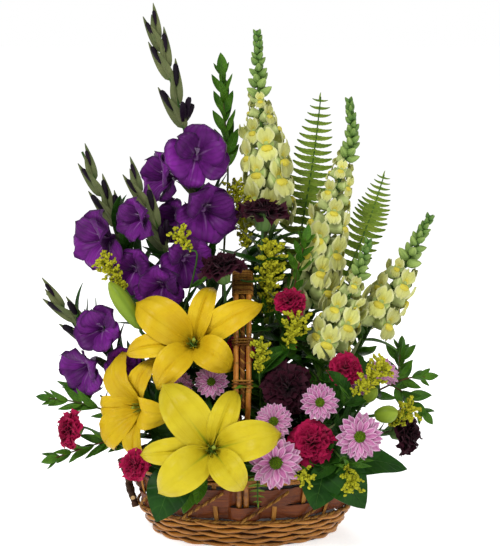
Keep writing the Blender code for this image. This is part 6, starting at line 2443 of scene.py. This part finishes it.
@dataclass
class Salals:
    """Leathery leaves over the rim; a bough is its leaves' roots, tips, widths and faces, and its path."""

    greens: Greens
    boughs: tuple = (
        ("salal_front_left", ((at(-80, -130, 126), at(-110, -146, 56), 0.027, (-0.2, -1, 0.3)),
                              (at(-86, -128, 122), at(-46, -142, 104), 0.018, (0.1, -0.6, 1))),
         run((-84, -127, 122), (-68, -90, 130), (-42, -38, 104))),
        ("salal_front_right", ((at(104, -118, 134), at(86, -148, 72), 0.029, (0, -1, 0.4)),
                               (at(104, -118, 128), at(150, -136, 70), 0.027, (0.2, -1, 0.4)),
                               (at(104, -118, 128), at(206, -92, 108), 0.022, (0.1, -0.7, 0.8))),
         run((100, -116, 122), (101, -90, 118), (79, -36, 104))),
        ("salal_back_right", ((at(36, 120, 124), at(30, 144, 70), 0.024, (0.1, 1, 0.4)),
                              (at(36, 120, 124), at(92, 126, 82), 0.024, (0.2, 1, 0.4)),
                              (at(36, 120, 124), at(64, 128, 196), 0.022, (0.1, 1, 0.1))),
         run((36, 121, 124), (34, 86, 132), (18, 40, 104))),
        ("salal_back_left", ((at(-50, 118, 124), at(-30, 144, 72), 0.024, (-0.1, 1, 0.4)),
                             (at(-50, 118, 124), at(-102, 120, 84), 0.024, (-0.2, 1, 0.4)),
                             (at(-50, 118, 124), at(0, 122, 186), 0.020, (-0.1, 1, 0.1))),
         run((-50, 119, 124), (-48, 86, 132), (-36, 44, 104))),
    )
    twig_root: Triple = at(-48, -140, 116)
    twig_leaves: tuple = ((at(-76, -156, 70), at(-62, -140, 110)), (at(-60, -156, 82), at(-52, -138, 112)),
                          (at(-70, -152, 98), at(-48, -140, 116)))
    fan_root: Triple = at(-67, -86, 129)
    fan_tips: tuple = run((-122, -50, 148), (-108, -46, 172), (-130, -62, 128), (-98, -52, 160))

    def left_twigs(self, piece: Piece, top: Vector) -> None:
        """Add the small twig over the rim on the left, and the fan of leaves behind it.

        Args:
            piece: where they go.
            top: the top of the bough's stem.
        """
        face = (0, -1, 0.3)
        for tip, root in self.twig_leaves:
            piece.add(self.greens.oval[1], Plant.myrtle, lying(root, tip, face, 1.1), 0.5)
        piece.add(rod(smooth_path((self.twig_root, at(-60, -120, 124), top), 4), 0.0012, 6), Plant.stem)
        for tip in self.fan_tips:
            piece.add(self.greens.oval[0], Plant.dusk, lying(self.fan_root, tip, face, 1.3))

    def build(self) -> None:
        """Model the four boughs."""
        for node, leaves, path in self.boughs:
            piece = Piece(node, "leaf")
            chance = piece.chance
            line = self.greens.stem(piece, path, (0.0018, 0.0022), Plant.woody)
            for number, (root, tip, half, face) in enumerate(leaves):
                length = (Vector(tip) - Vector(root)).length
                form = leaf_form(half / length, 0.05 if number % 2 else 0.02, 0.10, 8, 14, wave=0.030,
                                 widest=0.40, thick=0.0011 / length)
                piece.add(form, Plant.salal, lying(root, tip, face), 0.2 + 0.3 * number)
            back = Vector(leaves[0][3])
            if node == "salal_front_left":
                self.left_twigs(piece, line[0])
            for k in range(10):
                root = line[0] + piece.stray(0.016)
                across, out = chance.uniform(-1, 1), 0.35 * back.y * chance.uniform(0, 1)
                aim = Vector((across, out, chance.uniform(-0.25, 0.8)))
                tip = root + aim.normalized() * chance.uniform(0.030, 0.045)
                piece.add(self.greens.oval[k % 3], Plant.dusk, lying(root, tip, back + UP * 0.5))
            self.greens.leafy(piece, line, self.greens.oval, Plant.dusk, 0.2, 0.104, 8, 0.045, 0.85)
            piece.made(60)


# --- Studio ---


@dataclass
class Studio:
    """A plain pale floor, soft light from a white room and three broad lamps, and the camera."""

    azimuth: float = 0.0
    elevation: float = 10.0
    distance: float = 2.2
    target: Triple = (0.0065, 0.0, 0.345)
    lens: float = 111.6
    room: float = 0.44
    glow: float = 0.62
    backdrop: float = 1.0
    lamps: tuple = (((-0.9, -1.5, 1.8), 0.7, 33.0), ((1.4, -1.2, 0.9), 1.1, 8.0),
                    ((0.2, 1.4, 1.5), 1.2, 12.0))

    def floor(self) -> None:
        """Lay the floor."""
        Bench.clear()
        bpy.ops.mesh.primitive_plane_add(size=30.0)
        floor = bpy.context.object
        floor.name = "floor"
        tree = Tree("pale_floor")
        mottle = tree.mix(tree.noise(tree.place(), 4.0), (0.90, 0.90, 0.90), (0.93, 0.93, 0.93))
        finish = tree.dressed(mottle, 0.9, Emission_Color=(1.0, 1.0, 1.0), Emission_Strength=self.glow)
        floor.data.materials.append(finish)

    def light(self) -> None:
        """Set the room's light and the lamps."""
        scene = bpy.context.scene
        scene.world = bpy.data.worlds.new("room")
        scene.world.use_nodes = True
        nodes, links = scene.world.node_tree.nodes, scene.world.node_tree.links
        kinds = ("ShaderNodeBackground", "ShaderNodeMixShader", "ShaderNodeLightPath")
        white, mixed, path = (nodes.new(kind) for kind in kinds)
        background = nodes["Background"]
        for light, strength in ((background, self.room), (white, self.backdrop)):
            light.inputs["Color"].default_value = (1.0, 1.0, 1.0, 1.0)
            light.inputs["Strength"].default_value = strength
        links.new(path.outputs["Is Camera Ray"], mixed.inputs[0])
        links.new(background.outputs[0], mixed.inputs[1])
        links.new(white.outputs[0], mixed.inputs[2])
        links.new(mixed.outputs[0], nodes["World Output"].inputs["Surface"])
        for place, size, power in self.lamps:
            Bench.clear()
            bpy.ops.object.light_add(type="AREA", location=place)
            lamp = bpy.context.object
            lamp.data.size, lamp.data.energy = size, power
            lamp.rotation_euler = (Vector((0, 0, 0.3)) - Vector(place)).to_track_quat("-Z", "Y").to_euler()
        scene.view_settings.view_transform = "Standard"

    def camera(self) -> None:
        """Place the camera."""
        turn, rise = math.radians(self.azimuth), math.radians(self.elevation)
        away = Vector((math.sin(turn) * math.cos(rise), -math.cos(turn) * math.cos(rise), math.sin(rise)))
        place = Vector(self.target) + away * self.distance
        Bench.clear()
        bpy.ops.object.camera_add(location=place, rotation=(-away).to_track_quat("-Z", "Y").to_euler())
        camera = bpy.context.object
        camera.data.lens = self.lens
        bpy.context.scene.camera = camera

    def build(self) -> None:
        """Set up the room."""
        self.floor()
        self.light()
        self.camera()
        log.info("studio: floor, %d lamps, camera", len(self.lamps))


def main() -> None:
    """Build every part of the arrangement in order."""
    logging.basicConfig(level=logging.INFO, format="%(name)s %(message)s")
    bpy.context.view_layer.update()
    greens = Greens()
    parts = [Vessel(), Foot(), Stakes(), Splints(), Ropes(), Rim(), EndTies(), Handle(), Gladioli(greens),
             Snapdragons(greens), Ferns(greens), Lilies(greens), Carnations(greens), Daisies(greens),
             Solidagos(greens), Myrtles(greens), Salals(greens), Studio()]
    flowers = [part for part in parts if hasattr(part, "blooms")]
    greens.blooms = [bloom for flower in flowers for bloom in flower.blooms()]
    for part in parts:
        part.build()
    bpy.context.view_layer.update()


if __name__ == "__main__":
    main()
